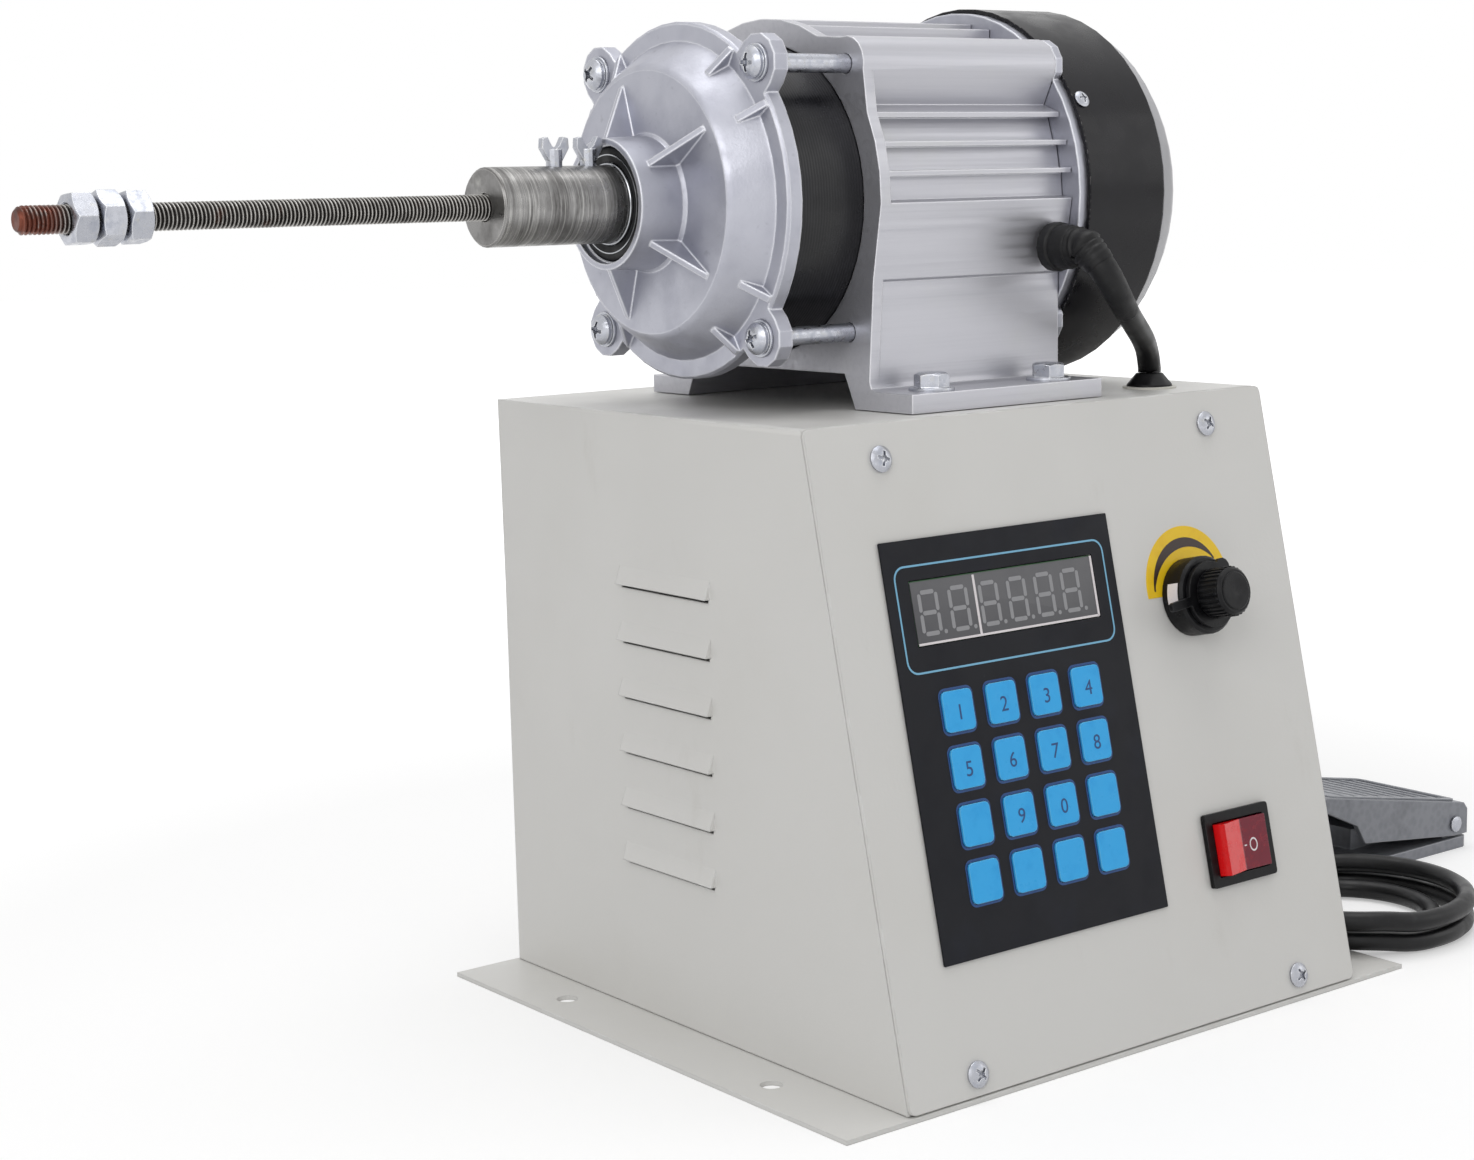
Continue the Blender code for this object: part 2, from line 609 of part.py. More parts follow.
def make_rocker(frame):
    """The switch's frame, with a well for the see-saw button that turns on a line up the panel."""
    body_width = ROCKER_BEZEL_WIDTH - 2 * ROCKER_BODY_MARGIN
    body_height = ROCKER_BEZEL_HEIGHT - 2 * ROCKER_BODY_MARGIN
    bezel = prism(
        rounded_outline(ROCKER_BEZEL_WIDTH, ROCKER_BEZEL_HEIGHT, ROCKER_BODY_MARGIN / 2, 2), GAP, ROCKER_BEZEL_RISE
    )
    switch = on_front_panel("rocker_frame", bezel, BLACK_PLASTIC, frame, ROCKER_X, ROCKER_V)
    body = box((body_width, body_height, ROCKER_BODY_DEPTH + GAP * 2), (0, 0, GAP - ROCKER_BODY_DEPTH / 2))
    join_shapes(switch, on_front_panel("guide_switch_body", body, None, frame, ROCKER_X, ROCKER_V), "UNION")
    well_width = body_width - ROCKER_WALL
    well_height = body_height - ROCKER_WALL
    well_low = -ROCKER_KEEL - 2 * ROCKER_BEZEL_RISE
    well = box((well_width, well_height, OVERRUN * 2 - well_low), (0, 0, OVERRUN + well_low / 2))
    join_shapes(switch, on_front_panel("guide_switch_well", well, None, frame, ROCKER_X, ROCKER_V), "DIFFERENCE")
    reach = well_width / 2 - ROCKER_CLEARANCE
    section = [
        (-reach, 0), (-reach / 2, -ROCKER_KEEL), (reach / 2, -ROCKER_KEEL), (reach, 0),
        (reach, ROCKER_CROWN), (0, ROCKER_VALLEY), (-reach, ROCKER_CROWN),
    ]
    half = well_height / 2 - ROCKER_CLEARANCE
    button = prism(section, -half, half)
    button.transform(Matrix.Rotation(math.pi / 2, 4, "X"))
    on_front_panel(
        "rocker_button", button, ROCKER_RED, frame, ROCKER_X, ROCKER_V, 0, (0, ROCKER_THROW, 0)
    )


def make_speed_dial(frame):
    """A turn-counting dial: the pot behind the panel, a fixed collar, a lock lever and the knob."""
    bush_top = COLLAR_HEIGHT / 2
    bore = POT_SHAFT_RADIUS + GAP
    pot = [
        (0, -SHEET - GAP - POT_DEPTH), (POT_RADIUS, -SHEET - GAP - POT_DEPTH), (POT_RADIUS, -SHEET - GAP),
        (BUSH_RADIUS, -SHEET - GAP), (BUSH_RADIUS, bush_top), (bore, bush_top), (bore, -SHEET), (0, -SHEET),
    ]
    on_front_panel("speed_pot", turned(pot, SIDES), BRIGHT_ZINC, frame, DIAL_X, DIAL_V)
    ring_bore = BUSH_RADIUS + GAP
    edge = KNOB_FLAT_CHAMFER
    collar = [
        (ring_bore, GAP), (COLLAR_RADIUS, GAP), (COLLAR_RADIUS, COLLAR_HEIGHT - edge),
        (COLLAR_RADIUS - edge, COLLAR_HEIGHT), (ring_bore, COLLAR_HEIGHT),
    ]
    on_front_panel("dial_collar", turned(collar, SIDES, closed=True), BLACK_PLASTIC, frame, DIAL_X, DIAL_V)
    lock_low = COLLAR_HEIGHT + GAP
    lock_high = lock_low + LOCK_THICKNESS
    lock = on_front_panel(
        "dial_lock", cylinder(LOCK_RING_RADIUS, lock_low, lock_high, SIDES), BLACK_PLASTIC, frame, DIAL_X, DIAL_V
    )
    for word, reach, width, angle in (
        ("lever", LOCK_LEVER_REACH, LOCK_LEVER_WIDTH, LOCK_LEVER_ANGLE),
        ("peg", LOCK_PEG_REACH, LOCK_PEG_WIDTH, LOCK_PEG_ANGLE),
    ):
        tab = prism(rounded_outline(reach, width, width / 2 - GAP, 3, (reach / 2, 0)), lock_low, lock_high)
        guide = on_front_panel(f"guide_lock_{word}", tab, None, frame, DIAL_X, DIAL_V, 0, (0, 0, angle))
        join_shapes(lock, guide, "UNION")
    middle = cylinder(bore, 0, lock_high + OVERRUN, SMALL_SIDES)
    join_shapes(lock, on_front_panel("guide_lock_bore", middle, None, frame, DIAL_X, DIAL_V), "DIFFERENCE")
    knob_low = lock_high + GAP
    knob_high = knob_low + KNOB_HEIGHT
    knob = [
        (0, -SHEET + GAP), (POT_SHAFT_RADIUS, -SHEET + GAP), (POT_SHAFT_RADIUS, knob_low), (KNOB_RADIUS, knob_low),
        (KNOB_RADIUS, knob_high - edge), (KNOB_RADIUS - edge, knob_high), (0, knob_high),
    ]
    on_front_panel("dial_knob", turned(knob, SIDES), BLACK_PLASTIC, frame, DIAL_X, DIAL_V)


# Motor; the motor frame's Z axis runs out along the spindle, its X axis points up, its Y axis to the rear

def corner_places():
    """The four through bolts, as up and rear offsets from the spindle."""
    return [(up * BOLT_OFFSET, rear * BOLT_OFFSET) for up in (1, -1) for rear in (-1, 1)]


def foot_bolt_places():
    """The four foot bolts, as X and Y places on the cabinet's top."""
    middle = -(HOUSING_FRONT + HOUSING_REAR) / 2
    places = []
    for side in (-FOOT_BOLT_NEAR, FOOT_BOLT_FAR):
        for end in (-1, 1):
            places.append((middle + end * FOOT_BOLT_SPACING / 2, SPINDLE_Y + side))
    return places


def make_front_bell(frame):
    """The cast front end: a bearing hub on a ribbed disc, a skirt and a flange with four bolt ears."""
    wall = BELL_EAR_THICKNESS
    depth = BELL_FRONT - BELL_REAR
    seat = FRONT_BEARING_RADIUS + GAP
    seat_high = BELL_FRONT - FRONT_BEARING_RECESS
    seat_floor = seat_high - FRONT_BEARING_WIDTH - 2 * GAP
    shoulder = seat - 2 * BEARING_SHOULDER
    rim = STATOR_RADIUS + GAP
    outer_shares = [
        (0.3625, 1.0), (0.373, 0.55), (0.388, 0.521), (0.732, 0.512), (0.768, 0.47),
        (0.88, 0.184), (0.893, 0.157), (0.986, 0.157), (1.0, 0.13), (1.0, 0.0),
    ]
    inner_shares = [(0.8125, 0.148), (0.705, 0.3935)]
    outer = [(BELL_RADIUS * r, BELL_REAR + depth * s) for r, s in outer_shares]
    inner = [(BELL_RADIUS * r, BELL_REAR + depth * s) for r, s in inner_shares]
    inner = [(rim, BELL_REAR), (rim, BELL_REAR + wall / 3)] + inner + [(shoulder, inner[-1][1])]
    bearing_seat = [
        (shoulder, seat_floor), (seat, seat_floor), (seat, seat_high), (seat + 2 * GAP, seat_high),
        (seat + 2 * GAP, BELL_FRONT),
    ]
    bell = add_piece("front_bell", turned(outer + inner + bearing_seat, FINE_SIDES, closed=True), CAST_ALUMINIUM, frame)
    rib_shares = [(0.36, 0.49), (0.36, 0.84), (0.375, 0.84), (0.68, 0.53), (0.68, 0.49)]
    gusset_shares = [(0.843, 0.133), (0.815, 0.305), (0.826, 0.343), (0.982, 0.175), (0.982, 0.104), (0.893, 0.089)]
    rib_angles = [math.pi / 2 + math.tau * index / BELL_RIB_COUNT for index in range(BELL_RIB_COUNT)]
    gusset_angles = []
    for up, rear in corner_places():
        corner = math.atan2(rear, up)
        gusset_angles += [corner - BELL_GUSSET_ANGLE, corner + BELL_GUSSET_ANGLE]
    for name, shares, thickness, angles in (
        ("guide_bell_ribs", rib_shares, BELL_RIB_THICKNESS, rib_angles),
        ("guide_bell_gussets", gusset_shares, BELL_GUSSET_THICKNESS, gusset_angles),
    ):
        blades = bmesh.new()
        section = [(BELL_RADIUS * r, BELL_REAR + depth * s) for r, s in shares]
        for angle in angles:
            append_shape(blades, radial_blade(section, thickness, angle))
        join_shapes(bell, add_piece(name, blades, None, frame), "UNION")
    ears = bmesh.new()
    for up, rear in corner_places():
        append_shape(ears, bolt_ear(up, rear, BELL_REAR, BELL_REAR + wall, BELL_EAR_RADIUS, BELL_RADIUS - wall / 2))
    join_shapes(bell, add_piece("guide_bell_ears", ears, None, frame), "UNION")
    join_shapes(bell, add_piece("guide_bell_holes", bolt_holes(BELL_REAR, BELL_REAR + wall), None, frame), "DIFFERENCE")


def radial_blade(section, thickness, angle):
    """A flat blade whose section is given by radius and station, turned to its angle."""
    blade = prism(section, -thickness / 2, thickness / 2)
    blade.transform(Matrix.Rotation(angle, 4, "Z") @ Matrix.Rotation(math.pi / 2, 4, "X"))
    return blade


def append_shape(target, extra):
    """Add one bmesh to another and free it."""
    keeper = bpy.data.meshes.new("keeper")
    extra.to_mesh(keeper)
    extra.free()
    target.from_mesh(keeper)
    bpy.data.meshes.remove(keeper)


def bolt_ear(up, rear, low, high, radius, root):
    """A lug that runs from the root radius out to a round end at the bolt."""
    reach = math.hypot(up, rear)
    outline = [(root, -radius), (root, radius)]
    steps = HEX
    for step in range(steps + 1):
        angle = math.pi / 2 - step * math.pi / steps
        outline.append((reach + radius * math.cos(angle), radius * math.sin(angle)))
    shape = prism(outline, low, high)
    shape.transform(Matrix.Rotation(math.atan2(rear, up), 4, "Z"))
    return shape


def bolt_holes(low, high):
    shape = bmesh.new()
    for up, rear in corner_places():
        cylinder(BOLT_RADIUS + GAP, low - OVERRUN, high + OVERRUN, HEX * 2, (up, rear), shape)
    return shape


def make_through_bolts(frame):
    seat = BELL_REAR + BELL_EAR_THICKNESS + GAP
    edge = BOLT_HEAD_HEIGHT / HEX
    profile = [
        (0, REAR_BELL_REAR), (BOLT_RADIUS, REAR_BELL_REAR), (BOLT_RADIUS, seat), (BOLT_HEAD_RADIUS, seat),
        (BOLT_HEAD_RADIUS, seat + BOLT_HEAD_HEIGHT - edge), (BOLT_HEAD_RADIUS - edge, seat + BOLT_HEAD_HEIGHT),
        (0, seat + BOLT_HEAD_HEIGHT),
    ]
    for index, (up, rear) in enumerate(corner_places()):
        add_piece(f"through_bolt_{index + 1}", turned(profile, HEX * 2), BRIGHT_ZINC, frame, (up, rear, 0))


def make_stator(frame):
    front = BELL_REAR - GAP
    profile = [
        (STATOR_BORE, STATOR_REAR), (STATOR_RADIUS, STATOR_REAR), (STATOR_RADIUS, front), (STATOR_BORE, front)
    ]
    add_piece("stator", turned(profile, FINE_SIDES, closed=True), STATOR_STEEL, frame)


def half_circle_up(radius, level):
    """How far out a circle lies at the given height."""
    return math.sqrt(max(radius ** 2 - level ** 2, 0))


def housing_half(finned, foot):
    """Half of the extrusion's section, from the arch's middle round to the top's middle."""
    arch = FOOT_BOTTOM + ARCH_HEIGHT
    foot_top = FOOT_BOTTOM + FOOT_THICKNESS
    web = HOUSING_WEB_HALF
    half = [
        (0, arch), (ARCH_HALF - ARCH_SLOPE, arch), (ARCH_HALF, FOOT_BOTTOM), (foot, FOOT_BOTTOM),
        (foot, foot_top), (web + FOOT_FILLET, foot_top), (web + FOOT_FILLET / 4, foot_top + FOOT_FILLET / 4),
        (web, foot_top + FOOT_FILLET),
    ]
    tip = HOUSING_TIP_RADIUS
    root = HOUSING_ROOT_RADIUS
    if finned:
        half += [(web, HOUSING_PAD_BOTTOM - FIN_THICKNESS / 2)]
    half += [(half_circle_up(tip, HOUSING_PAD_BOTTOM) + FIN_THICKNESS, HOUSING_PAD_BOTTOM), (tip, HOUSING_PAD_TOP)]
    half_fin = FIN_THICKNESS / 2
    for index in range(SIDE_FIN_COUNT):
        level = HOUSING_PAD_TOP + (index + 1) * FIN_PITCH
        if finned:
            half += [
                (half_circle_up(root, level - FIN_PITCH / 2), level - FIN_PITCH + half_fin),
                (half_circle_up(root, level), level - half_fin),
                (half_circle_up(tip, level), level - half_fin),
            ]
        half.append((half_circle_up(tip, level), level + half_fin))
    if finned:
        half.append((root * math.cos(math.radians(33)), root * math.sin(math.radians(33))))
    for step in range(HEX + 1):
        angle = math.radians(-15) + step * math.radians(120) / HEX
        half.append((
            BOLT_OFFSET + HOUSING_COLUMN_RADIUS * math.cos(angle),
            BOLT_OFFSET + HOUSING_COLUMN_RADIUS * math.sin(angle),
        ))
    for index in range(TOP_FIN_COUNT - 1, -1, -1):
        place = index * FIN_PITCH
        crest = half_circle_up(tip, place)
        if finned:
            half += [(place + FIN_PITCH - 2 * half_fin, half_circle_up(root, place + FIN_PITCH)),
                     (place + half_fin, half_circle_up(root, place + half_fin))]
        half.append((place + half_fin, crest))
        if index and finned:
            half += [(place - half_fin, crest), (place - half_fin, half_circle_up(root, place - half_fin))]
    return half


def housing_outline(finned):
    """The whole section as rear and up points: feet, pads, fins, bolt columns and top fins."""
    far = housing_half(finned, FOOT_FAR)
    near = housing_half(finned, FOOT_NEAR)
    return far + [(-x, y) for x, y in reversed(near[1:])]


def make_motor_housing(frame):
    sections = [(True, HOUSING_REAR, HOUSING_FRONT - HOUSING_RIM / 2), (False, HOUSING_FRONT - HOUSING_RIM, HOUSING_FRONT)]
    pieces = []
    for (finned, low, high), name in zip(sections, ("motor_housing", "guide_housing_rim")):
        outline = [(up, rear) for rear, up in housing_outline(finned)]
        pieces.append(add_piece(name, prism(outline, low, high), EXTRUDED_ALUMINIUM if finned else None, frame))
    housing, rim = pieces
    join_shapes(housing, rim, "UNION")
    cuts = bolt_holes(HOUSING_REAR, HOUSING_FRONT)
    cylinder(STATOR_RADIUS + GAP, HOUSING_REAR - OVERRUN, HOUSING_FRONT + OVERRUN, FINE_SIDES, (0, 0), cuts)
    join_shapes(housing, add_piece("guide_housing_bores", cuts, None, frame), "DIFFERENCE")
    feet = bmesh.new()
    for x, y in foot_bolt_places():
        low = CABINET_HEIGHT - OVERRUN
        cylinder(FOOT_BOLT_RADIUS, low, low + FOOT_THICKNESS + 2 * OVERRUN, SMALL_SIDES, (x, y), feet)
    join_shapes(housing, add_piece("guide_foot_holes", feet), "DIFFERENCE")


def make_rear_bell(frame):
    """The rear end plate: bolt ears, a rim for the cover and a hub for the rear bearing."""
    seat = REAR_BEARING_RADIUS + GAP
    hub = seat + 2 * BEARING_SHOULDER
    hub_front = REAR_BELL_REAR + REAR_BEARING_WIDTH + BEARING_SHOULDER
    rim = COVER_RADIUS - COVER_SHEET - GAP
    rim_wall = REAR_BELL_SHEET
    profile = [
        (seat, REAR_BELL_REAR), (seat, hub_front - BEARING_SHOULDER), (seat - BEARING_SHOULDER * 2, hub_front - BEARING_SHOULDER),
        (seat - BEARING_SHOULDER * 2, hub_front), (hub, hub_front), (hub, REAR_BELL_FRONT), (rim, REAR_BELL_FRONT),
        (rim, COVER_FRONT - REAR_BELL_RIM), (rim - rim_wall, COVER_FRONT - REAR_BELL_RIM), (rim - rim_wall, REAR_BELL_REAR),
    ]
    bell = add_piece("rear_bell", turned(profile, FINE_SIDES, closed=True), CAST_ALUMINIUM, frame)
    ears = bmesh.new()
    for up, rear in corner_places():
        append_shape(ears, bolt_ear(up, rear, REAR_BELL_REAR, REAR_BELL_FRONT, HOUSING_COLUMN_RADIUS, BOLT_OFFSET))
    join_shapes(bell, add_piece("guide_rear_ears", ears, None, frame), "UNION")
    holes = add_piece("guide_rear_holes", bolt_holes(REAR_BELL_REAR, REAR_BELL_FRONT), None, frame)
    join_shapes(bell, holes, "DIFFERENCE")


def make_bearings(frame):
    edge = GAP * 2
    front_low = BELL_FRONT - FRONT_BEARING_RECESS - FRONT_BEARING_WIDTH - GAP
    rear_low = REAR_BELL_REAR + GAP
    for name, radius, bore, low, width in (
        ("front_bearing", FRONT_BEARING_RADIUS, FRONT_SHAFT_RADIUS + GAP, front_low, FRONT_BEARING_WIDTH),
        ("rear_bearing", REAR_BEARING_RADIUS, REAR_SHAFT_RADIUS + GAP, rear_low, REAR_BEARING_WIDTH - 2 * GAP),
    ):
        high = low + width
        dip = width / SMALL_SIDES
        middle = (radius + bore) / 2
        band = (radius - bore) / HEX
        profile = [
            (bore, low), (radius, low), (radius, high - edge), (radius - edge, high), (middle + band, high),
            (middle + band, high - dip), (middle - band, high - dip), (middle - band, high), (bore, high),
        ]
        add_piece(name, turned(profile, SIDES, closed=True), BEARING_STEEL, frame)


def make_rotor(frame):
    """The rotor core on its stepped shaft, from the fan's end out into the coupler."""
    core_low = STATOR_REAR + BEARING_SHOULDER
    core_high = core_low + ROTOR_LENGTH
    fan_end = REAR_BELL_REAR - GAP - FAN_BLADE_WIDTH - FAN_HUB_RADIUS
    bearing_front = BELL_FRONT - FRONT_BEARING_RECESS - GAP
    bearing_back = bearing_front - FRONT_BEARING_WIDTH
    collar = FRONT_SHAFT_RADIUS + BEARING_SHOULDER
    rear_front = REAR_BELL_REAR + REAR_BEARING_WIDTH
    profile = [
        (0, fan_end), (FAN_SHAFT_RADIUS, fan_end), (FAN_SHAFT_RADIUS, REAR_BELL_REAR), (REAR_SHAFT_RADIUS, REAR_BELL_REAR),
        (REAR_SHAFT_RADIUS, rear_front + GAP), (collar, rear_front + GAP), (collar, core_low), (ROTOR_RADIUS, core_low),
        (ROTOR_RADIUS, core_high), (collar, core_high), (collar, bearing_back - GAP), (FRONT_SHAFT_RADIUS, bearing_back - GAP),
        (FRONT_SHAFT_RADIUS, bearing_front + GAP), (collar, bearing_front + GAP), (collar, COUPLER_REAR - GAP),
        (FRONT_SHAFT_RADIUS, COUPLER_REAR - GAP), (FRONT_SHAFT_RADIUS, SHAFT_END), (0, SHAFT_END),
    ]
    add_piece("rotor", turned(profile, SIDES), TURNED_STEEL, frame)


def make_fan(frame):
    high = REAR_BELL_REAR - REAR_BELL_RIM
    low = high - FAN_BLADE_WIDTH
    hub = [
        (FAN_SHAFT_RADIUS + GAP, low), (FAN_HUB_RADIUS, low), (FAN_HUB_RADIUS, high), (FAN_SHAFT_RADIUS + GAP, high)
    ]
    fan = add_piece("cooling_fan", turned(hub, SMALL_SIDES, closed=True), BLACK_PLASTIC, frame)
    blades = bmesh.new()
    inner = FAN_SHAFT_RADIUS + 2 * GAP
    for index in range(FAN_BLADES):
        blade = box(
            (FAN_RADIUS - inner, FAN_BLADE_THICKNESS, FAN_BLADE_WIDTH - GAP), ((FAN_RADIUS + inner) / 2, 0, (low + high) / 2)
        )
        blade.transform(Matrix.Rotation(index * math.tau / FAN_BLADES, 4, "Z"))
        append_shape(blades, blade)
    join_shapes(fan, add_piece("guide_fan_blades", blades, None, frame), "UNION")


def make_fan_cover(frame):
    inner = COVER_RADIUS - COVER_SHEET
    profile = [
        (inner, COVER_FRONT), (COVER_RADIUS, COVER_FRONT), (COVER_RADIUS, COVER_REAR + SHEET),
        (COVER_RADIUS - SHEET, COVER_REAR), (inner - SHEET, COVER_REAR), (inner - SHEET, COVER_REAR + SHEET),
        (inner, COVER_REAR + 2 * SHEET),
    ]
    add_piece("fan_cover", turned(profile, FINE_SIDES, closed=True), BLACK_PAINT, frame)


def make_rear_grille(frame):
    """The rounded rear cap with radial air slots; its lip sits behind the cover's edge."""
    seat = COVER_REAR - GAP
    outer = COVER_RADIUS - SHEET
    depth = seat - GRILLE_REAR
    dome_shares = [(0.0, 0.0), (0.25, 0.45), (0.62, 0.8), (1.0, 0.95)]
    rim = [(outer + (GRILLE_RADIUS - outer) * r, seat - depth * s) for r, s in dome_shares]
    wall = GRILLE_SHEET
    inside = [(r - wall, s + wall * share) for (r, s), share in zip(reversed(rim), (1.0, 0.9, 0.4, 0.0))]
    profile = [(0, GRILLE_REAR + wall)] + [(GRILLE_RADIUS - 2 * wall, GRILLE_REAR + wall)] + inside[1:]
    profile += rim + [(0, GRILLE_REAR)]
    grille = add_piece("rear_grille", turned(profile, FINE_SIDES), CAST_ALUMINIUM, frame)
    slots = bmesh.new()
    inner = GRILLE_RADIUS / 3
    reach = GRILLE_RADIUS - HEX * wall
    for index in range(GRILLE_SLOTS):
        outline = rounded_outline(reach - inner, GRILLE_SLOT_WIDTH, GRILLE_SLOT_WIDTH / 3, 2, ((reach + inner) / 2, 0))
        slot = prism(outline, GRILLE_REAR - OVERRUN, GRILLE_REAR + wall + OVERRUN)
        slot.transform(Matrix.Rotation((index + 0.5) * math.tau / GRILLE_SLOTS, 4, "Z"))
        append_shape(slots, slot)
    join_shapes(grille, add_piece("guide_grille_slots", slots, None, frame), "DIFFERENCE")


# Spindle tooling

def wing_screw_stations():
    first = COUPLER_REAR + WING_SCREW_FIRST
    return [first, first + WING_SCREW_SPACING]


def make_coupler(frame):
    floor = COUPLER_REAR + COUPLER_SHAFT_DEPTH
    shaft_bore = FRONT_SHAFT_RADIUS + GAP
    rod_bore = ROD_RADIUS + GAP
    edge = GAP * 2
    profile = [
        (shaft_bore, COUPLER_REAR), (COUPLER_RADIUS - edge, COUPLER_REAR), (COUPLER_RADIUS, COUPLER_REAR + edge),
        (COUPLER_RADIUS, COUPLER_FRONT - edge), (COUPLER_RADIUS - edge, COUPLER_FRONT), (rod_bore, COUPLER_FRONT),
        (rod_bore, floor), (shaft_bore, floor),
    ]
    coupler = add_piece("coupler", turned(profile, SIDES, closed=True), TURNED_STEEL, frame)
    holes = bmesh.new()
    for station in wing_screw_stations():
        hole = cylinder(WING_SCREW_RADIUS + GAP, 0, COUPLER_RADIUS + OVERRUN, HEX * 2)
        hole.transform(Matrix.Translation((0, 0, station)) @ Matrix.Rotation(math.pi / 2, 4, "Y"))
        append_shape(holes, hole)
    join_shapes(coupler, add_piece("guide_screw_holes", holes, None, frame), "DIFFERENCE")


def make_threaded_rod(frame):
    profile = [
        (0, ROD_INNER_END), (ROD_RADIUS, ROD_INNER_END), (ROD_RADIUS, ROD_TIP - ROD_CHAMFER),
        (ROD_RADIUS - ROD_CHAMFER, ROD_TIP), (0, ROD_TIP),
    ]
    add_piece("threaded_rod", turned(profile, SMALL_SIDES), TURNED_STEEL, frame)


def make_nuts(frame):
    corner_radius = NUT_ACROSS_FLATS / 2 / math.cos(math.pi / HEX)
    step = NUT_THICKNESS + NUT_SEPARATION
    for index, name in enumerate(("nut_outer", "nut_middle", "nut_inner")):
        high = NUTS_OUTER_END - index * step
        low = high - NUT_THICKNESS
        shape = cylinder(corner_radius, low, high, HEX)
        ends = [edge for edge in shape.edges if abs(edge.verts[0].co.z - edge.verts[1].co.z) < GAP]
        bmesh.ops.bevel(shape, geom=ends, offset=NUT_SEPARATION, segments=1, profile=0.5, affect="EDGES")
        nut = add_piece(name, shape, BRIGHT_ZINC, frame)
        bore = cylinder(ROD_RADIUS + GAP, low - OVERRUN, high + OVERRUN, SMALL_SIDES)
        join_shapes(nut, add_piece(f"guide_bore_{name}", bore, None, frame), "DIFFERENCE")


def make_wing_screws(frame):
    """Two screws with flat two-lobed heads; each screw's own Z axis points away from the spindle."""
    tips = (FRONT_SHAFT_RADIUS + GAP, ROD_RADIUS + GAP)
    neck = COUPLER_RADIUS + WING_NECK
    half = WING_WIDTH / 2
    lobe_shares = [
        (0.0, 0.35), (0.45, 0.0), (1.0, 0.55), (0.95, 0.95), (0.6, 1.0), (0.3, 0.65), (0.0, 0.5),
    ]
    lobes = [(half * x, neck + WING_HEIGHT * z) for x, z in lobe_shares]
    outline = lobes + [(-x, z) for x, z in reversed(lobes[1:-1])]
    for index, (station, tip) in enumerate(zip(wing_screw_stations(), tips)):
        base = (0, 0, station)
        turn = (0, math.pi / 2, 0)
        shank = cylinder(WING_SCREW_RADIUS, tip, neck + WING_HEIGHT / 2, HEX * 2)
        screw = add_piece(f"wing_screw_{index + 1}", shank, BRIGHT_ZINC, frame, base, turn)
        wings = prism(outline, -WING_THICKNESS / 2, WING_THICKNESS / 2)
        wings.transform(Matrix.Rotation(math.pi / 2, 4, "X"))
        join_shapes(screw, add_piece(f"guide_wings_{index + 1}", wings, None, frame, base, turn), "UNION")


# Cords

def smooth_points(route, count):
    """Read evenly spaced points from a smooth curve through the route's own points."""
    ends = [route[0] * 2 - route[1]] + list(route) + [route[-1] * 2 - route[-2]]
    dense = []
    parts = SMALL_SIDES
    for index in range(len(route) - 1):
        before, start, end, after = ends[index:index + 4]
        for step in range(parts):
            t = step / parts
            dense.append(
                (start * 2 + (end - before) * t + (before * 2 - start * 5 + end * 4 - after) * t ** 2
                 + (start * 3 - before - end * 3 + after) * t ** 3) / 2
            )
    dense.append(route[-1])
    lengths = [0.0]
    for first, second in zip(dense, dense[1:]):
        lengths.append(lengths[-1] + (second - first).length)
    points = []
    place = 0
    for step in range(count):
        wanted = lengths[-1] * step / (count - 1)
        while place < len(lengths) - 2 and lengths[place + 1] < wanted:
            place += 1
        share = (wanted - lengths[place]) / (lengths[place + 1] - lengths[place])
        points.append(dense[place].lerp(dense[place + 1], min(share, 1.0)))
    return points, lengths[-1]


def make_tube(name, points, radius, look, resolution):
    curve = bpy.data.curves.new(name, "CURVE")
    curve.dimensions = "3D"
    curve.bevel_depth = radius
    curve.bevel_resolution = resolution
    curve.use_fill_caps = True
    line = curve.splines.new("POLY")
    line.points.add(len(points) - 1)
    for point, place in zip(line.points, points):
        point.co = (*place, 1.0)
    curve.materials.append(finish(name, *look))
    tube = bpy.data.objects.new(name, curve)
    bpy.context.collection.objects.link(tube)
    return tube


def route_in_metres(route):
    return [Vector(place) * MM for place in route]


def make_motor_lead():
    points, length = smooth_points(route_in_metres(LEAD_ROUTE), LEAD_POINTS)
    make_tube("motor_lead", points, LEAD_RADIUS, RUBBER, 2)
    print(f"motor lead length {length:.3f} m")


def eased(value, low, high):
    """Go smoothly from 0 at the low value to 1 at the high one."""
    share = min(max((value - low) / (high - low), 0.0), 1.0)
    return share * share * (3 - 2 * share)


def coil_points():
    """Loops that draw in on the table, climb onto themselves and open out again on top."""
    points = []
    for index in range(round(COIL_TURNS * COIL_TURN_POINTS) + 1):
        turns = index / COIL_TURN_POINTS
        outward = (COIL_INMOST - COIL_TOP_INWARD) * eased(turns, COIL_INMOST_TURN, COIL_TOP_TURN)
        inward = COIL_INMOST * eased(turns, 0, COIL_INMOST_TURN) - outward
        angle = math.pi / 2 - math.tau * turns
        x = COIL_CENTRE_X + (COIL_HALF_X - inward) * math.cos(angle)
        y = COIL_CENTRE_Y + (COIL_HALF_Y - inward) * math.sin(angle)
        on_flange = min(max((COIL_FLANGE_EDGE + COIL_FLANGE_RUN - x) / COIL_FLANGE_RUN, 0.0), 1.0)
        climb = COIL_LAYER_STEP * eased(turns, COIL_CLIMB_FROM, COIL_CLIMB_TO)
        points.append(Vector((x, y, COIL_FLOOR + COIL_OVER_FLANGE * on_flange + climb)))
    start = Vector((points[0].x - 2 * CORD_RADIUS, points[0].y, points[0].z))
    end = Vector((points[-1].x, points[-1].y + 2 * CORD_RADIUS, points[-1].z))
    return [start] + points + [end]


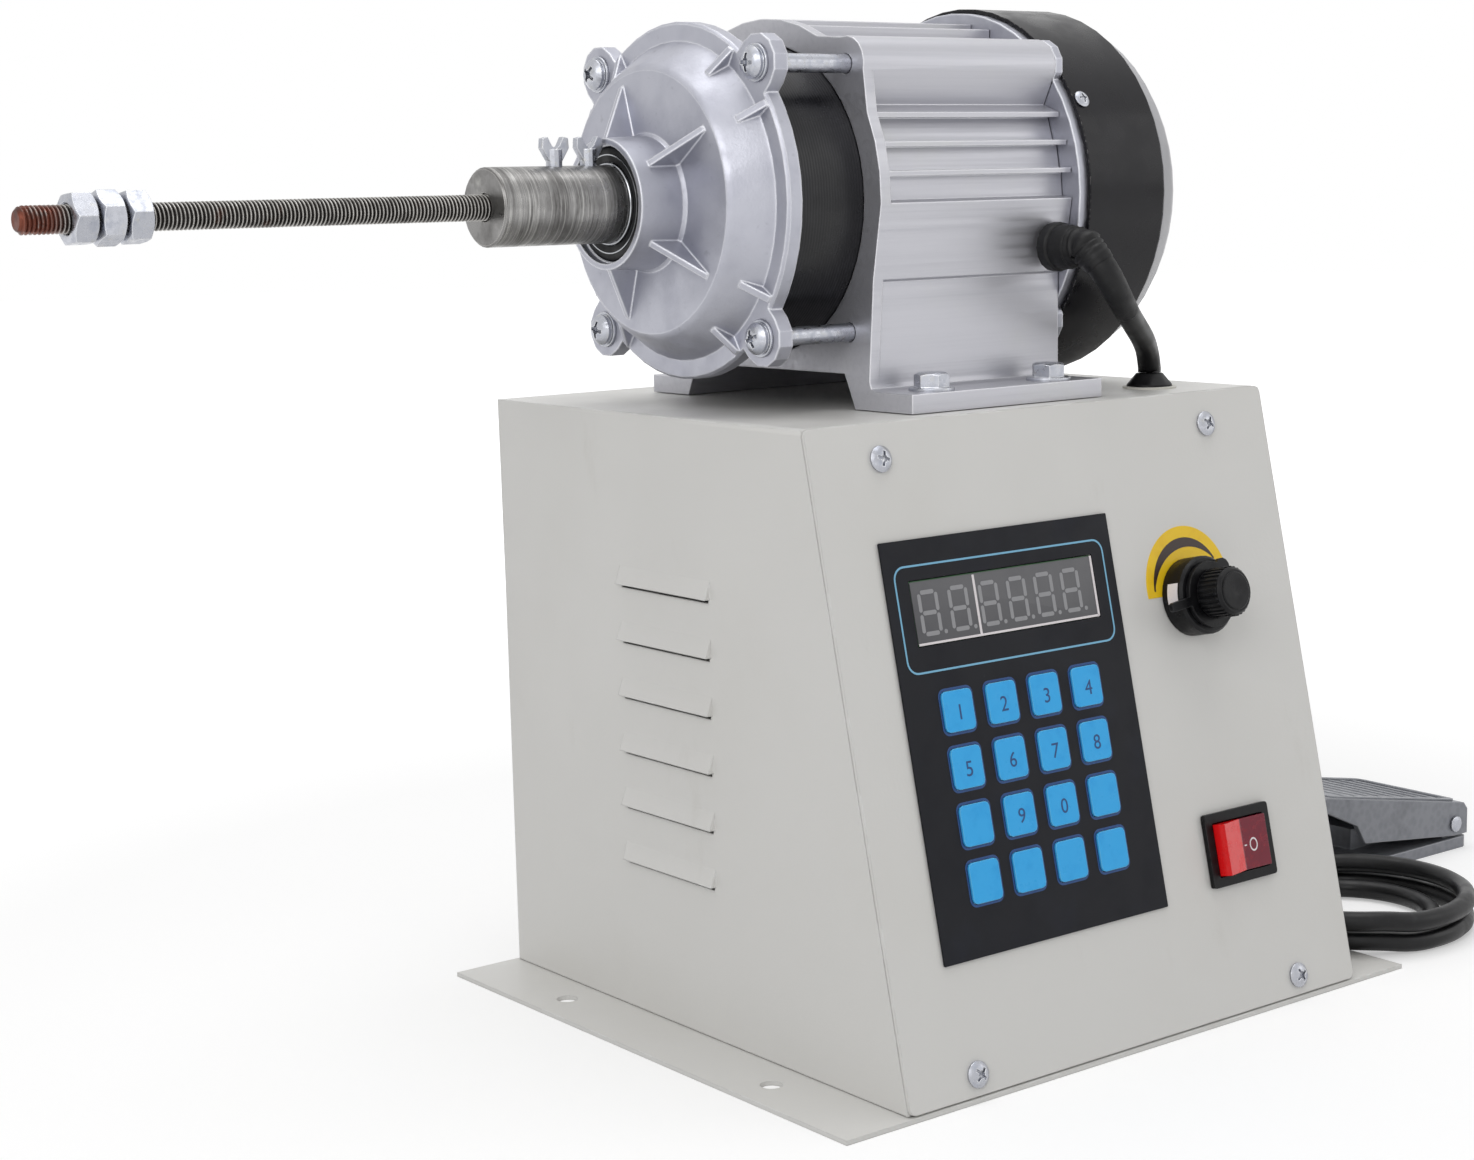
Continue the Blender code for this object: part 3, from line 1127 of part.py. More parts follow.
def least_gap(points, radius):
    """The smallest clear distance between two stretches that aren't neighbours."""
    least = math.inf
    apart = COIL_TURN_POINTS // 2
    for index, first in enumerate(points):
        for second in points[index + apart:]:
            least = min(least, (first - second).length - 2 * radius)
    return least


def make_foot_cord():
    coil = coil_points()
    make_tube("foot_cord_coil", coil, CORD_RADIUS, RUBBER, 1)
    coil_length = sum((second - first).length for first, second in zip(coil, coil[1:]))
    lead, lead_length = smooth_points(route_in_metres(CORD_LEAD_ROUTE), CORD_LEAD_POINTS)
    make_tube("foot_cord_lead", lead, CORD_RADIUS, RUBBER, 2)
    tail, tail_length = smooth_points(route_in_metres(CORD_TAIL_ROUTE), CORD_TAIL_POINTS)
    make_tube("foot_cord_tail", tail, CORD_RADIUS, RUBBER, 2)
    print(f"foot cord lead {lead_length:.3f} m, coil {coil_length:.3f} m, tail {tail_length:.3f} m")
    print(f"coil's least gap to itself {least_gap(coil, CORD_RADIUS) / MM:.2f} mm")


def make_glands():
    edge = GAP * 2
    nut_end = GLAND_FLANGE + GLAND_NUT_LENGTH
    profile = [
        (0, GAP), (GLAND_RADIUS, GAP), (GLAND_RADIUS, GLAND_FLANGE - edge), (GLAND_RADIUS - edge, GLAND_FLANGE),
        (GLAND_NUT_RADIUS, GLAND_FLANGE), (GLAND_NUT_RADIUS, nut_end), (GLAND_TIP_RADIUS, GLAND_LENGTH + GAP),
        (0, GLAND_LENGTH + GAP),
    ]
    place = (GLAND_X, PAD_Y, GLAND_Z)
    add_piece("cable_gland", turned(profile, SMALL_SIDES), RUBBER, None, place, (math.pi / 2, 0, 0))
    stem = GROMMET_HOLE - GAP
    grommet = [
        (0, -SHEET - GAP), (stem, -SHEET - GAP), (stem, GAP), (GROMMET_RADIUS, GAP),
        (GROMMET_RADIUS, GROMMET_HEIGHT / 4), (LEAD_RADIUS + edge, GROMMET_HEIGHT), (0, GROMMET_HEIGHT),
    ]
    place = (GROMMET_X, GROMMET_Y, CABINET_HEIGHT)
    add_piece("lead_grommet", turned(grommet, SMALL_SIDES), RUBBER, None, place)
    gland = [
        (0, -SHEET - GAP), (CORD_GLAND_TIP, -SHEET - GAP), (CORD_GLAND_TIP, GAP), (CORD_GLAND_RADIUS, GAP),
        (CORD_GLAND_RADIUS, CORD_GLAND_LENGTH / 3), (CORD_GLAND_TIP, CORD_GLAND_LENGTH), (0, CORD_GLAND_LENGTH),
    ]
    place = (CORD_GLAND_X, CABINET_DEPTH / 2, CORD_GLAND_Z)
    add_piece("foot_cord_gland", turned(gland, SMALL_SIDES), BLACK_PLASTIC, None, place, (-math.pi / 2, 0, 0))


# Foot switch; its frame lies on the table at the hinge end, X runs towards the toe end

def pedal_top(x):
    """The treadle's top at a place along the pedal."""
    return PEDAL_LOW_HEIGHT + (PEDAL_HIGH_HEIGHT - PEDAL_LOW_HEIGHT) * x / PEDAL_LENGTH


def side_prism(outline, half_width):
    """Pull an outline of X and Z points sideways."""
    shape = prism(outline, -half_width, half_width)
    shape.transform(Matrix.Rotation(math.pi / 2, 4, "X"))
    return shape


def make_pedal_base(frame):
    half = PEDAL_WIDTH / 2
    slab = box((PEDAL_LENGTH, PEDAL_WIDTH, PEDAL_BASE_HEIGHT), (PEDAL_LENGTH / 2, 0, PEDAL_BASE_HEIGHT / 2))
    uprights = [edge for edge in slab.edges if abs(edge.verts[0].co.z - edge.verts[1].co.z) > GAP]
    bmesh.ops.bevel(slab, geom=uprights, offset=PEDAL_WALL, segments=2, profile=0.5, affect="EDGES")
    base = add_piece("pedal_base", slab, PEDAL_GREY, frame)
    inner = half - PEDAL_WALL - GAP
    extras = bmesh.new()
    lug = 2 * PEDAL_PIN_RADIUS
    box(
        (2 * lug, 2 * inner, PEDAL_PIN_HEIGHT + lug - PEDAL_BASE_HEIGHT / 2),
        (PEDAL_PIN_INSET, 0, (PEDAL_PIN_HEIGHT + lug + PEDAL_BASE_HEIGHT / 2) / 2), extras,
    )
    post_middle = PEDAL_SKIRT_END - PEDAL_POST_WIDTH
    box(
        (PEDAL_POST_WIDTH, PEDAL_POST_WIDTH, PEDAL_POST_HEIGHT - PEDAL_BASE_HEIGHT / 2),
        (post_middle, 0, (PEDAL_POST_HEIGHT + PEDAL_BASE_HEIGHT / 2) / 2), extras,
    )
    boss = cylinder(PEDAL_BOSS_RADIUS, -PEDAL_LENGTH / 4, PEDAL_BOSS_LENGTH, SMALL_SIDES)
    turn = Matrix.Translation((PEDAL_LENGTH, 0, PEDAL_BOSS_RADIUS + PEDAL_BASE_HEIGHT - PEDAL_WALL / 4))
    boss.transform(turn @ Matrix.Rotation(math.pi / 2, 4, "Y"))
    join_shapes(base, add_piece("guide_pedal_blocks", extras, None, frame), "UNION")
    join_shapes(base, add_piece("guide_pedal_boss", boss, None, frame), "UNION")
    hole = cylinder(PEDAL_PIN_RADIUS + GAP, -half, half, HEX * 2)
    hole.transform(Matrix.Translation((PEDAL_PIN_INSET, 0, PEDAL_PIN_HEIGHT)) @ Matrix.Rotation(math.pi / 2, 4, "X"))
    join_shapes(base, add_piece("guide_pedal_hole", hole, None, frame), "DIFFERENCE")


def make_pedal_treadle(frame):
    """The pressed cover: an open-bottomed wedge with side skirts and a lip over the toe end."""
    half = PEDAL_WIDTH / 2
    low = PEDAL_BASE_HEIGHT + PEDAL_SKIRT_LIFT
    toe_x = PEDAL_LENGTH + PEDAL_LIP
    axis_x = PEDAL_PIN_INSET
    axis_z = PEDAL_PIN_HEIGHT
    toe_low = low + PEDAL_TOE_LIFT * PEDAL_SKIRT_END / PEDAL_LENGTH
    lip = 2 * PEDAL_WALL
    outline = [
        (0, low), (axis_x, low), (PEDAL_SKIRT_END, toe_low), (PEDAL_SKIRT_END + lip, pedal_top(PEDAL_SKIRT_END) - 2 * lip),
        (toe_x, pedal_top(toe_x) - lip), (toe_x, pedal_top(toe_x) - PEDAL_WALL / 2),
        (toe_x - PEDAL_WALL, pedal_top(toe_x)), (PEDAL_WALL, pedal_top(PEDAL_WALL)), (0, pedal_top(0) - PEDAL_WALL),
    ]
    placed = [(x - axis_x, z - axis_z) for x, z in outline]
    base = (axis_x, 0, axis_z)
    treadle = add_piece("pedal_treadle", side_prism(placed, half), PEDAL_GREY, frame, base)
    roof = PEDAL_WALL
    hollow = [
        (roof, -OVERRUN), (toe_x + OVERRUN, -OVERRUN), (toe_x + OVERRUN, pedal_top(toe_x + OVERRUN) - 3 * roof / 2),
        (toe_x - lip, pedal_top(toe_x - lip) - roof), (roof, pedal_top(roof) - roof),
    ]
    placed = [(x - axis_x, z - axis_z) for x, z in hollow]
    inside = add_piece("guide_treadle_hollow", side_prism(placed, half - PEDAL_WALL), None, frame, base)
    join_shapes(treadle, inside, "DIFFERENCE")
    hole = cylinder(PEDAL_PIN_RADIUS + GAP, -half - OVERRUN, half + OVERRUN, HEX * 2)
    hole.transform(Matrix.Rotation(math.pi / 2, 4, "X"))
    join_shapes(treadle, add_piece("guide_treadle_hole", hole, None, frame, base), "DIFFERENCE")


def make_pedal_pin(frame):
    half = PEDAL_WIDTH / 2 + GAP
    profile = [
        (0, -half), (PEDAL_PIN_RADIUS, -half), (PEDAL_PIN_RADIUS, half), (PEDAL_PIN_HEAD, half),
        (PEDAL_PIN_HEAD, half + PEDAL_PIN_HEAD_HEIGHT / 2), (PEDAL_PIN_RADIUS, half + PEDAL_PIN_HEAD_HEIGHT),
        (0, half + PEDAL_PIN_HEAD_HEIGHT),
    ]
    place = (PEDAL_PIN_INSET, 0, PEDAL_PIN_HEIGHT)
    add_piece("pedal_pin", turned(profile, HEX * 2), TURNED_STEEL, frame, place, (-math.pi / 2, 0, 0))


# Inside and behind

def make_power_supply():
    size = (SUPPLY_WIDTH, SUPPLY_DEPTH, SUPPLY_HEIGHT)
    shape = box(size, (SUPPLY_X, SUPPLY_Y, FLOOR_OF_BODY + SUPPLY_HEIGHT / 2))
    bmesh.ops.bevel(shape, geom=shape.edges[:], offset=SUPPLY_BEVEL, segments=1, profile=0.5, affect="EDGES")
    add_piece("power_supply", shape, SUPPLY_STEEL)


def make_mains_inlet():
    """The appliance inlet: a flange outside, a body through the rear wall and three pins in the socket."""
    rear = CABINET_DEPTH / 2
    flange = prism(
        rounded_outline(INLET_FLANGE_WIDTH, INLET_FLANGE_HEIGHT, INLET_FLANGE_DEPTH, 2), GAP, GAP + INLET_FLANGE_DEPTH
    )
    place = (INLET_X, rear, INLET_Z)
    turn = (-math.pi / 2, 0, 0)
    inlet = add_piece("mains_inlet", flange, BLACK_PLASTIC, None, place, turn)
    body = box(
        (INLET_BODY_WIDTH, INLET_BODY_HEIGHT, INLET_BODY_DEPTH + 2 * GAP), (0, 0, 2 * GAP - INLET_BODY_DEPTH / 2)
    )
    join_shapes(inlet, add_piece("guide_inlet_body", body, None, None, place, turn), "UNION")
    floor = INLET_FLANGE_DEPTH - INLET_BODY_DEPTH + INLET_WALL
    recess = box(
        (INLET_BODY_WIDTH - 2 * INLET_WALL, INLET_BODY_HEIGHT - 2 * INLET_WALL, INLET_BODY_DEPTH),
        (0, 0, floor + INLET_BODY_DEPTH / 2),
    )
    join_shapes(inlet, add_piece("guide_inlet_recess", recess, None, None, place, turn), "DIFFERENCE")
    pins = bmesh.new()
    for column in (-1, 0, 1):
        centre = (column * INLET_PIN_SPACING, 0)
        cylinder(INLET_PIN_RADIUS, floor - INLET_WALL / 2, floor + INLET_PIN_LENGTH, HEX, centre, pins)
    join_shapes(inlet, add_piece("guide_inlet_pins", pins, None, None, place, turn), "UNION")


def main():
    clear_scene()
    front = add_frame("front_plane", (0, -CABINET_DEPTH / 2, 0), (math.pi / 2 - TILT, 0, 0))
    motor = add_frame("spindle_line", (0, SPINDLE_Y, SPINDLE_Z), (0, -math.pi / 2, 0))
    pedal = add_frame("pedal_place", (PEDAL_END_X, PEDAL_Y, 0), (0, 0, math.pi))
    make_body_shell()
    make_base_plate()
    for make in (make_front_panel, make_overlay, make_keys, make_control_board, make_rocker, make_speed_dial):
        make(front)
    for make in (
        make_front_bell, make_through_bolts, make_stator, make_motor_housing, make_rear_bell, make_bearings,
        make_rotor, make_fan, make_fan_cover, make_rear_grille, make_coupler, make_threaded_rod, make_nuts,
        make_wing_screws,
    ):
        make(motor)
    make_motor_lead()
    make_glands()
    for make in (make_pedal_base, make_pedal_treadle, make_pedal_pin):
        make(pedal)
    make_foot_cord()
    make_power_supply()
    make_mains_inlet()
    bpy.context.view_layer.update()


main()
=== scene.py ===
# %% [markdown]
# A wire coil winding machine. A small motor with a long threaded spindle is bolted on top of a painted
# sheet cabinet, whose sloping front carries a counting keypad, a speed dial and a rocker switch.
# A foot switch lies beside it on its looped cord. The imported solids give every place and size here,
# so the first step is to load them. A helper reads the box of any one of them, in metres.

# %% Load the imported solids
import json
import math

import bmesh
import bpy
from mathutils import Matrix, Vector


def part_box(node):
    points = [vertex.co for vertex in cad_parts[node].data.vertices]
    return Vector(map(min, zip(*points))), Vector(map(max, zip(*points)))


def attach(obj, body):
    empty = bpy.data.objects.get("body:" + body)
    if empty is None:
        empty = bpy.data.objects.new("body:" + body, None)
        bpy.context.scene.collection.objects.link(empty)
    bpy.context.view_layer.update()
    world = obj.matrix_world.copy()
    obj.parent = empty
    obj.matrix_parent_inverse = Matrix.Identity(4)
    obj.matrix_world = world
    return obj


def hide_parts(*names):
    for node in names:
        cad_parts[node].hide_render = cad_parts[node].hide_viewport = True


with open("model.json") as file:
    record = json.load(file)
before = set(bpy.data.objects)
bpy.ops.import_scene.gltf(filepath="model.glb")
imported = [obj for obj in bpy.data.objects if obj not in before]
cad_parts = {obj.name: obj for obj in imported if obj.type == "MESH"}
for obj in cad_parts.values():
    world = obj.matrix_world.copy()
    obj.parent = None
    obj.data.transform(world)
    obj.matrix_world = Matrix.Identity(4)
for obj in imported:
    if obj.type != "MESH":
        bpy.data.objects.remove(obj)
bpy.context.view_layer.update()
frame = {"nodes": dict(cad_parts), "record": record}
MM = 0.001

# %% [markdown]
# The picture is taken from the front left, a little above the cabinet's top, with a longish lens.
# The camera's axes are worked out from the way it looks and how far it leans, because a look-at
# constraint would give no lean. The lens is worked out for a 36 mm wide sensor.

# %% Camera
LOOK_TURN = math.radians(37.7)
LOOK_DOWN = math.radians(8.9)
LEAN = math.radians(-1.2)
SENSOR = 36.0

forward = Vector((
    math.sin(LOOK_TURN) * math.cos(LOOK_DOWN), math.cos(LOOK_TURN) * math.cos(LOOK_DOWN), -math.sin(LOOK_DOWN),
))
level_right = forward.cross(Vector((0, 0, 1))).normalized()
level_up = level_right.cross(forward)
right = level_right * math.cos(LEAN) + level_up * math.sin(LEAN)
up = level_up * math.cos(LEAN) - level_right * math.sin(LEAN)

lens = bpy.data.cameras.new("bench_camera")
lens.sensor_fit = "HORIZONTAL"
lens.sensor_width = SENSOR
lens.lens = 2566.4 / 1474 * SENSOR
lens.clip_start = 0.02
camera = bpy.data.objects.new("bench_camera", lens)
axes = Matrix((right, up, -forward)).transposed().to_4x4()
camera.matrix_world = Matrix.Translation((-0.5737, -0.6399, 0.2732)) @ axes
bpy.context.scene.collection.objects.link(camera)
bpy.context.scene.camera = camera
print(f"lens {lens.lens:.1f} mm")

# %% [markdown]
# Finishes need colours as they look on a screen, which Blender wants as linear values.
# Every finish starts from one shader, and small helpers then add what a real surface has: two tones that
# drift into each other, a grain that can be felt, and a gloss that isn't even. All patterns use
# object coordinates, so that they stay on the metal in every view.

# %% Helpers for finishes
def screen_colour(red, green, blue):
    """A colour as it is seen on a screen, from 0 to 255, as the linear values that shaders use."""
    linear = []
    for value in (red, green, blue):
        share = value / 255
        linear.append(share / 12.92 if share <= 0.04045 else ((share + 0.055) / 1.055) ** 2.4)
    return (*linear, 1.0)


def start_finish(name, colour, roughness, metal=0.0):
    material = bpy.data.materials.new(name)
    material.use_nodes = True
    shader = material.node_tree.nodes["Principled BSDF"]
    shader.inputs["Base Color"].default_value = screen_colour(*colour)
    shader.inputs["Roughness"].default_value = roughness
    shader.inputs["Metallic"].default_value = metal
    material.diffuse_color = screen_colour(*colour)
    return material


def add_node(material, kind, **values):
    node = material.node_tree.nodes.new(kind)
    for name, value in values.items():
        if hasattr(node, name):
            setattr(node, name, value)
        else:
            node.inputs[name.replace("_", " ")].default_value = value
    return node


def join_sockets(material, source, target):
    material.node_tree.links.new(source, target)


def stretched_place(material, stretch=(1, 1, 1), shift=(0, 0, 0), turn=(0, 0, 0)):
    """The point on the object, stretched so that a pattern can run along one direction."""
    where = add_node(material, "ShaderNodeTexCoord")
    change = add_node(material, "ShaderNodeMapping")
    change.inputs["Location"].default_value = shift
    change.inputs["Rotation"].default_value = turn
    change.inputs["Scale"].default_value = stretch
    join_sockets(material, where.outputs["Object"], change.inputs["Vector"])
    return change.outputs["Vector"]


def cloudy(material, size, place=None, detail=4.0, rough=0.55):
    """Soft clouds, whose patches are about the given size in metres."""
    clouds = add_node(material, "ShaderNodeTexNoise")
    clouds.inputs["Scale"].default_value = 1 / size
    clouds.inputs["Detail"].default_value = detail
    clouds.inputs["Roughness"].default_value = rough
    join_sockets(material, place or stretched_place(material), clouds.inputs["Vector"])
    return clouds.outputs["Fac"]


def spread(material, value, low, high, to_low=0.0, to_high=1.0):
    """Pick out a range of a pattern and give it new limits."""
    ramp = add_node(material, "ShaderNodeMapRange", interpolation_type="SMOOTHSTEP")
    ramp.inputs["From Min"].default_value = low
    ramp.inputs["From Max"].default_value = high
    ramp.inputs["To Min"].default_value = to_low
    ramp.inputs["To Max"].default_value = to_high
    join_sockets(material, value, ramp.inputs["Value"])
    return ramp.outputs["Result"]


def tint(material, amount, colour):
    """Lay another colour over the finish where a pattern is high."""
    shader = material.node_tree.nodes["Principled BSDF"]
    base = shader.inputs["Base Color"]
    blend = add_node(material, "ShaderNodeMix", data_type="RGBA")
    under, over = [socket for socket in blend.inputs if socket.type == "RGBA"]
    if base.links:
        join_sockets(material, base.links[0].from_socket, under)
    else:
        under.default_value = base.default_value
    over.default_value = screen_colour(*colour)
    join_sockets(material, amount, blend.inputs["Factor"])
    join_sockets(material, [socket for socket in blend.outputs if socket.type == "RGBA"][0], base)


def uneven_gloss(material, pattern, low, high):
    shader = material.node_tree.nodes["Principled BSDF"]
    join_sockets(material, spread(material, pattern, 0.3, 0.7, low, high), shader.inputs["Roughness"])


def grain(material, height, depth, strength=1.0):
    """Raise the surface by a pattern, on top of any grain that it has already."""
    shader = material.node_tree.nodes["Principled BSDF"]
    bump = add_node(material, "ShaderNodeBump")
    bump.inputs["Distance"].default_value = depth
    bump.inputs["Strength"].default_value = strength
    join_sockets(material, height, bump.inputs["Height"])
    if shader.inputs["Normal"].links:
        join_sockets(material, shader.inputs["Normal"].links[0].from_socket, bump.inputs["Normal"])
    join_sockets(material, bump.outputs["Normal"], shader.inputs["Normal"])


def constant(material, **values):
    """Set sockets that are the same all over, straight on the shader."""
    shader = material.node_tree.nodes["Principled BSDF"]
    for name, value in values.items():
        shader.inputs[name.replace("_", " ")].default_value = value


print("finish helpers ready")

# %% [markdown]
# Cords are sheathed in black PVC. New cord is shiny, but handling leaves it with long dull streaks and
# a grey bloom, so the sheath gets a fine skin, patches of dust and a gloss that comes and goes.

# %% Cord sheath
cord_sheath = start_finish("black cord sheath", (13, 13, 15), 0.34)
tint(cord_sheath, spread(cord_sheath, cloudy(cord_sheath, 0.006), 0.55, 0.85, 0, 0.3), (46, 46, 48))
uneven_gloss(cord_sheath, cloudy(cord_sheath, 0.011), 0.28, 0.5)
grain(cord_sheath, cloudy(cord_sheath, 0.0006), 0.00004, 0.5)
constant(cord_sheath, Specular_IOR_Level=0.32)
print(cord_sheath.name)

# %% [markdown]
# The foot switch's cord is about 1.1 m of round cable, 7 mm thick. It leaves the cabinet at the back,
# drops to the bench, comes forward beside the cabinet, lies in not quite three loops and ends in the
# pedal's toe. The route repeats the places of the solids: first the way to the loops, then the loops,
# which draw in on the bench and climb onto themselves, then the short end over the first part.
# One smooth curve goes through all of it, because a real cord has no joints.

# %% Route of the foot switch's cord
CORD_DIAMETER = 7 * MM
way_to_loops = [
    (80, 119.3, 25), (80, 127, 24.8), (80.4, 141, 21.5), (84.6, 155, 14.8), (94.8, 165.8, 8.2), (109, 170, 4.5),
    (123.5, 166.1, 3.7), (134.1, 155.5, 3.7), (138, 140, 3.7), (135.8, 119, 3.7), (127.5, 96, 4.8), (118, 74, 5.5),
    (112, 52, 5.5), (109.5, 30, 5.5), (110.4, 12, 5.5), (116, -1.5, 5.5), (126.5, -10.3, 5.5), (139, -13, 3.9),
]
way_to_pedal = [
    (109, -41, 13.2), (110.2, -30, 13), (114.3, -17.5, 13.2), (122.5, -6.5, 12.9),
    (135, 1.8, 9.8), (149, 5.8, 6.2), (163, 6.5, 6.2), (174, 6.5, 8.2), (183.2, 6.5, 8.4),
]


def eased(value, low, high):
    share = min(max((value - low) / (high - low), 0.0), 1.0)
    return share * share * (3 - 2 * share)


def loop_point(turns):
    """A point of the loops, after so many turns, in millimetres."""
    inward = 14 * eased(turns, 0, 1.5) - 12 * eased(turns, 1.5, 2.3)
    angle = math.pi / 2 - math.tau * turns
    x = 153.5 + (46.5 - inward) * math.cos(angle)
    y = -57 + (44 - inward) * math.sin(angle)
    on_flange = min(max((143 - x) / 14, 0.0), 1.0)
    return x, y, 3.7 + 1.8 * on_flange + 7.7 * eased(turns, 1.45, 1.8)


loops = [loop_point(index / 24) for index in range(67)]
route = way_to_loops + loops + way_to_pedal
print(f"{len(route)} route points")


# %% The cord itself
def smooth_line(places, spacing):
    """Evenly spaced points in metres on a smooth curve through places in millimetres."""
    points = [Vector(place) * MM for place in places]
    ends = [points[0] * 2 - points[1]] + points + [points[-1] * 2 - points[-2]]
    dense = []
    for before, start, end, after in zip(ends, ends[1:], ends[2:], ends[3:]):
        for step in range(12):
            t = step / 12
            dense.append((
                start * 2 + (end - before) * t + (before * 2 - start * 5 + end * 4 - after) * t ** 2
                + (start * 3 - before - end * 3 + after) * t ** 3
            ) / 2)
    dense.append(points[-1])
    travelled = [0.0]
    for first, second in zip(dense, dense[1:]):
        travelled.append(travelled[-1] + (second - first).length)
    count = round(travelled[-1] / spacing)
    line = []
    place = 0
    for step in range(count + 1):
        wanted = travelled[-1] * step / count
        while place < len(dense) - 2 and travelled[place + 1] < wanted:
            place += 1
        share = (wanted - travelled[place]) / (travelled[place + 1] - travelled[place])
        line.append(dense[place].lerp(dense[place + 1], min(share, 1.0)))
    return line, travelled[-1]


def tightest_bend(line):
    """The smallest radius of a circle through three neighbouring points."""
    radii = []
    for before, point, after in zip(line, line[1:], line[2:]):
        area = (point - before).cross(after - before).length / 2
        if area > 1e-12:
            radii.append((point - before).length * (after - point).length * (after - before).length / (4 * area))
    return min(radii)


def lay_cord(name, line, diameter, finish, body, *stands_for):
    curve = bpy.data.curves.new(name, "CURVE")
    curve.dimensions = "3D"
    curve.bevel_depth = diameter / 2
    curve.bevel_resolution = 4
    curve.use_fill_caps = True
    spline = curve.splines.new("POLY")
    spline.points.add(len(line) - 1)
    for point, place in zip(spline.points, line):
        point.co = (*place, 1.0)
    spline.use_smooth = True
    curve.materials.append(finish)
    cord = bpy.data.objects.new(name, curve)
    bpy.context.scene.collection.objects.link(cord)
    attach(cord, body)
    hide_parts(*stands_for)
    return cord


line, foot_cord_length = smooth_line(route, 3.2 * MM)
foot_cord = lay_cord(
    "foot_switch_cord", line, CORD_DIAMETER, cord_sheath, "machine", "foot_cord_lead", "foot_cord_coil", "foot_cord_tail"
)
print(f"foot switch cord {foot_cord_length:.3f} m, tightest bend {tightest_bend(line) / MM:.1f} mm")

# %% [markdown]
# The motor's own lead is a short thick cable. It leaves the black fitting on the motor's near side and
# goes down through a rubber grommet into the cabinet. Both ends are held, so it is one stiff bow.

# %% Motor lead
LEAD_DIAMETER = 7.8 * MM
lead_route = [
    (25, -50.1, 249), (25, -54, 248.8), (25.6, -58, 245.5), (27.5, -60.2, 239), (32.5, -59.4, 233.5),
    (43.3, -54, 226), (55, -47.8, 219.6), (63.8, -42.4, 215.4), (69.2, -38.5, 212), (70.5, -37.5, 209), (70.5, -37.5, 205.3),
]
line, _ = smooth_line(lead_route, 1.5 * MM)


def ease_bends(line, rounds):
    """Spread sharp bends along a stiff cable. Its straight ends stay where they are."""
    for count in range(rounds):
        middle = [(before + point * 2 + after) / 4 for before, point, after in zip(line[1:], line[2:-2], line[3:-1])]
        line = line[:2] + middle + line[-2:]
    return line


line = ease_bends(line, 60)
motor_lead = lay_cord("motor_cable", line, LEAD_DIAMETER, cord_sheath, "machine", "motor_lead")

# %% [markdown]
# The stage is a wide pale floor under a white surround. Both look white to the camera and in
# reflections, but they light the machine only a little, so that its own tones stay as they are.
# The floor is a plain diffuse sheet, so that it keeps the machine's soft shadow.

# %% Floor and surround
def seen_directly(tree):
    """1 for rays from the camera, mirrors and glass, 0 for rays that only carry light."""
    path = tree.nodes.new("ShaderNodeLightPath")
    total = path.outputs["Is Camera Ray"]
    for word in ("Is Glossy Ray", "Is Transmission Ray"):
        either = tree.nodes.new("ShaderNodeMath")
        either.operation = "MAXIMUM"
        tree.links.new(total, either.inputs[0])
        tree.links.new(path.outputs[word], either.inputs[1])
        total = either.outputs[0]
    return total


floor_shape = bmesh.new()
bmesh.ops.create_circle(floor_shape, cap_ends=True, segments=96, radius=6.0)
floor_mesh = bpy.data.meshes.new("floor")
floor_shape.to_mesh(floor_mesh)
floor_shape.free()
floor = bpy.data.objects.new("floor", floor_mesh)
bpy.context.scene.collection.objects.link(floor)
floor_paint = start_finish("pale floor", (252, 252, 252), 0.9)
constant(floor_paint, Specular_IOR_Level=0.0)
tree = floor_paint.node_tree
shader = tree.nodes["Principled BSDF"]
shader.inputs["Base Color"].default_value = (0.72, 0.72, 0.72, 1)
shader.inputs["Emission Color"].default_value = (1, 1, 1, 1)
where = tree.nodes.new("ShaderNodeTexCoord")
reach = tree.nodes.new("ShaderNodeVectorMath")
reach.operation = "LENGTH"
tree.links.new(where.outputs["Object"], reach.inputs[0])
far = tree.nodes.new("ShaderNodeMapRange")
far.inputs["From Min"].default_value = 0.35
far.inputs["From Max"].default_value = 1.3
far.inputs["To Min"].default_value = 0.36
far.inputs["To Max"].default_value = 0.9
tree.links.new(reach.outputs["Value"], far.inputs["Value"])
glow = tree.nodes.new("ShaderNodeMath")
glow.operation = "MULTIPLY"
tree.links.new(far.outputs["Result"], glow.inputs[0])
tree.links.new(seen_directly(tree), glow.inputs[1])
tree.links.new(glow.outputs[0], shader.inputs["Emission Strength"])
floor_mesh.materials.append(floor_paint)

world = bpy.data.worlds.new("white surround")
bpy.context.scene.world = world
world.use_nodes = True
tree = world.node_tree
background = tree.nodes["Background"]
background.inputs["Color"].default_value = (1.0, 1.0, 1.0, 1.0)
level = tree.nodes.new("ShaderNodeMapRange")
level.inputs["To Min"].default_value = 0.46
level.inputs["To Max"].default_value = 1.0
tree.links.new(seen_directly(tree), level.inputs["Value"])
tree.links.new(level.outputs["Result"], background.inputs["Strength"])
print("floor and surround ready")

# %% [markdown]
# Product pictures are lit by wide soft boxes, so that metal shows broad gentle highlights.
# A big one hangs above and behind the camera's left shoulder, a weaker one stands on the right and one
# more lights the machine from above.

# %% Soft boxes
def soft_box(name, place, aim, width, power):
    lamp = bpy.data.lights.new(name, "AREA")
    lamp.shape = "SQUARE"
    lamp.size = width
    lamp.energy = power
    box = bpy.data.objects.new(name, lamp)
    away = (Vector(place) - Vector(aim)).normalized()
    box.matrix_world = Matrix.Translation(place) @ away.to_track_quat("Z", "Y").to_matrix().to_4x4()
    bpy.context.scene.collection.objects.link(box)
    return box


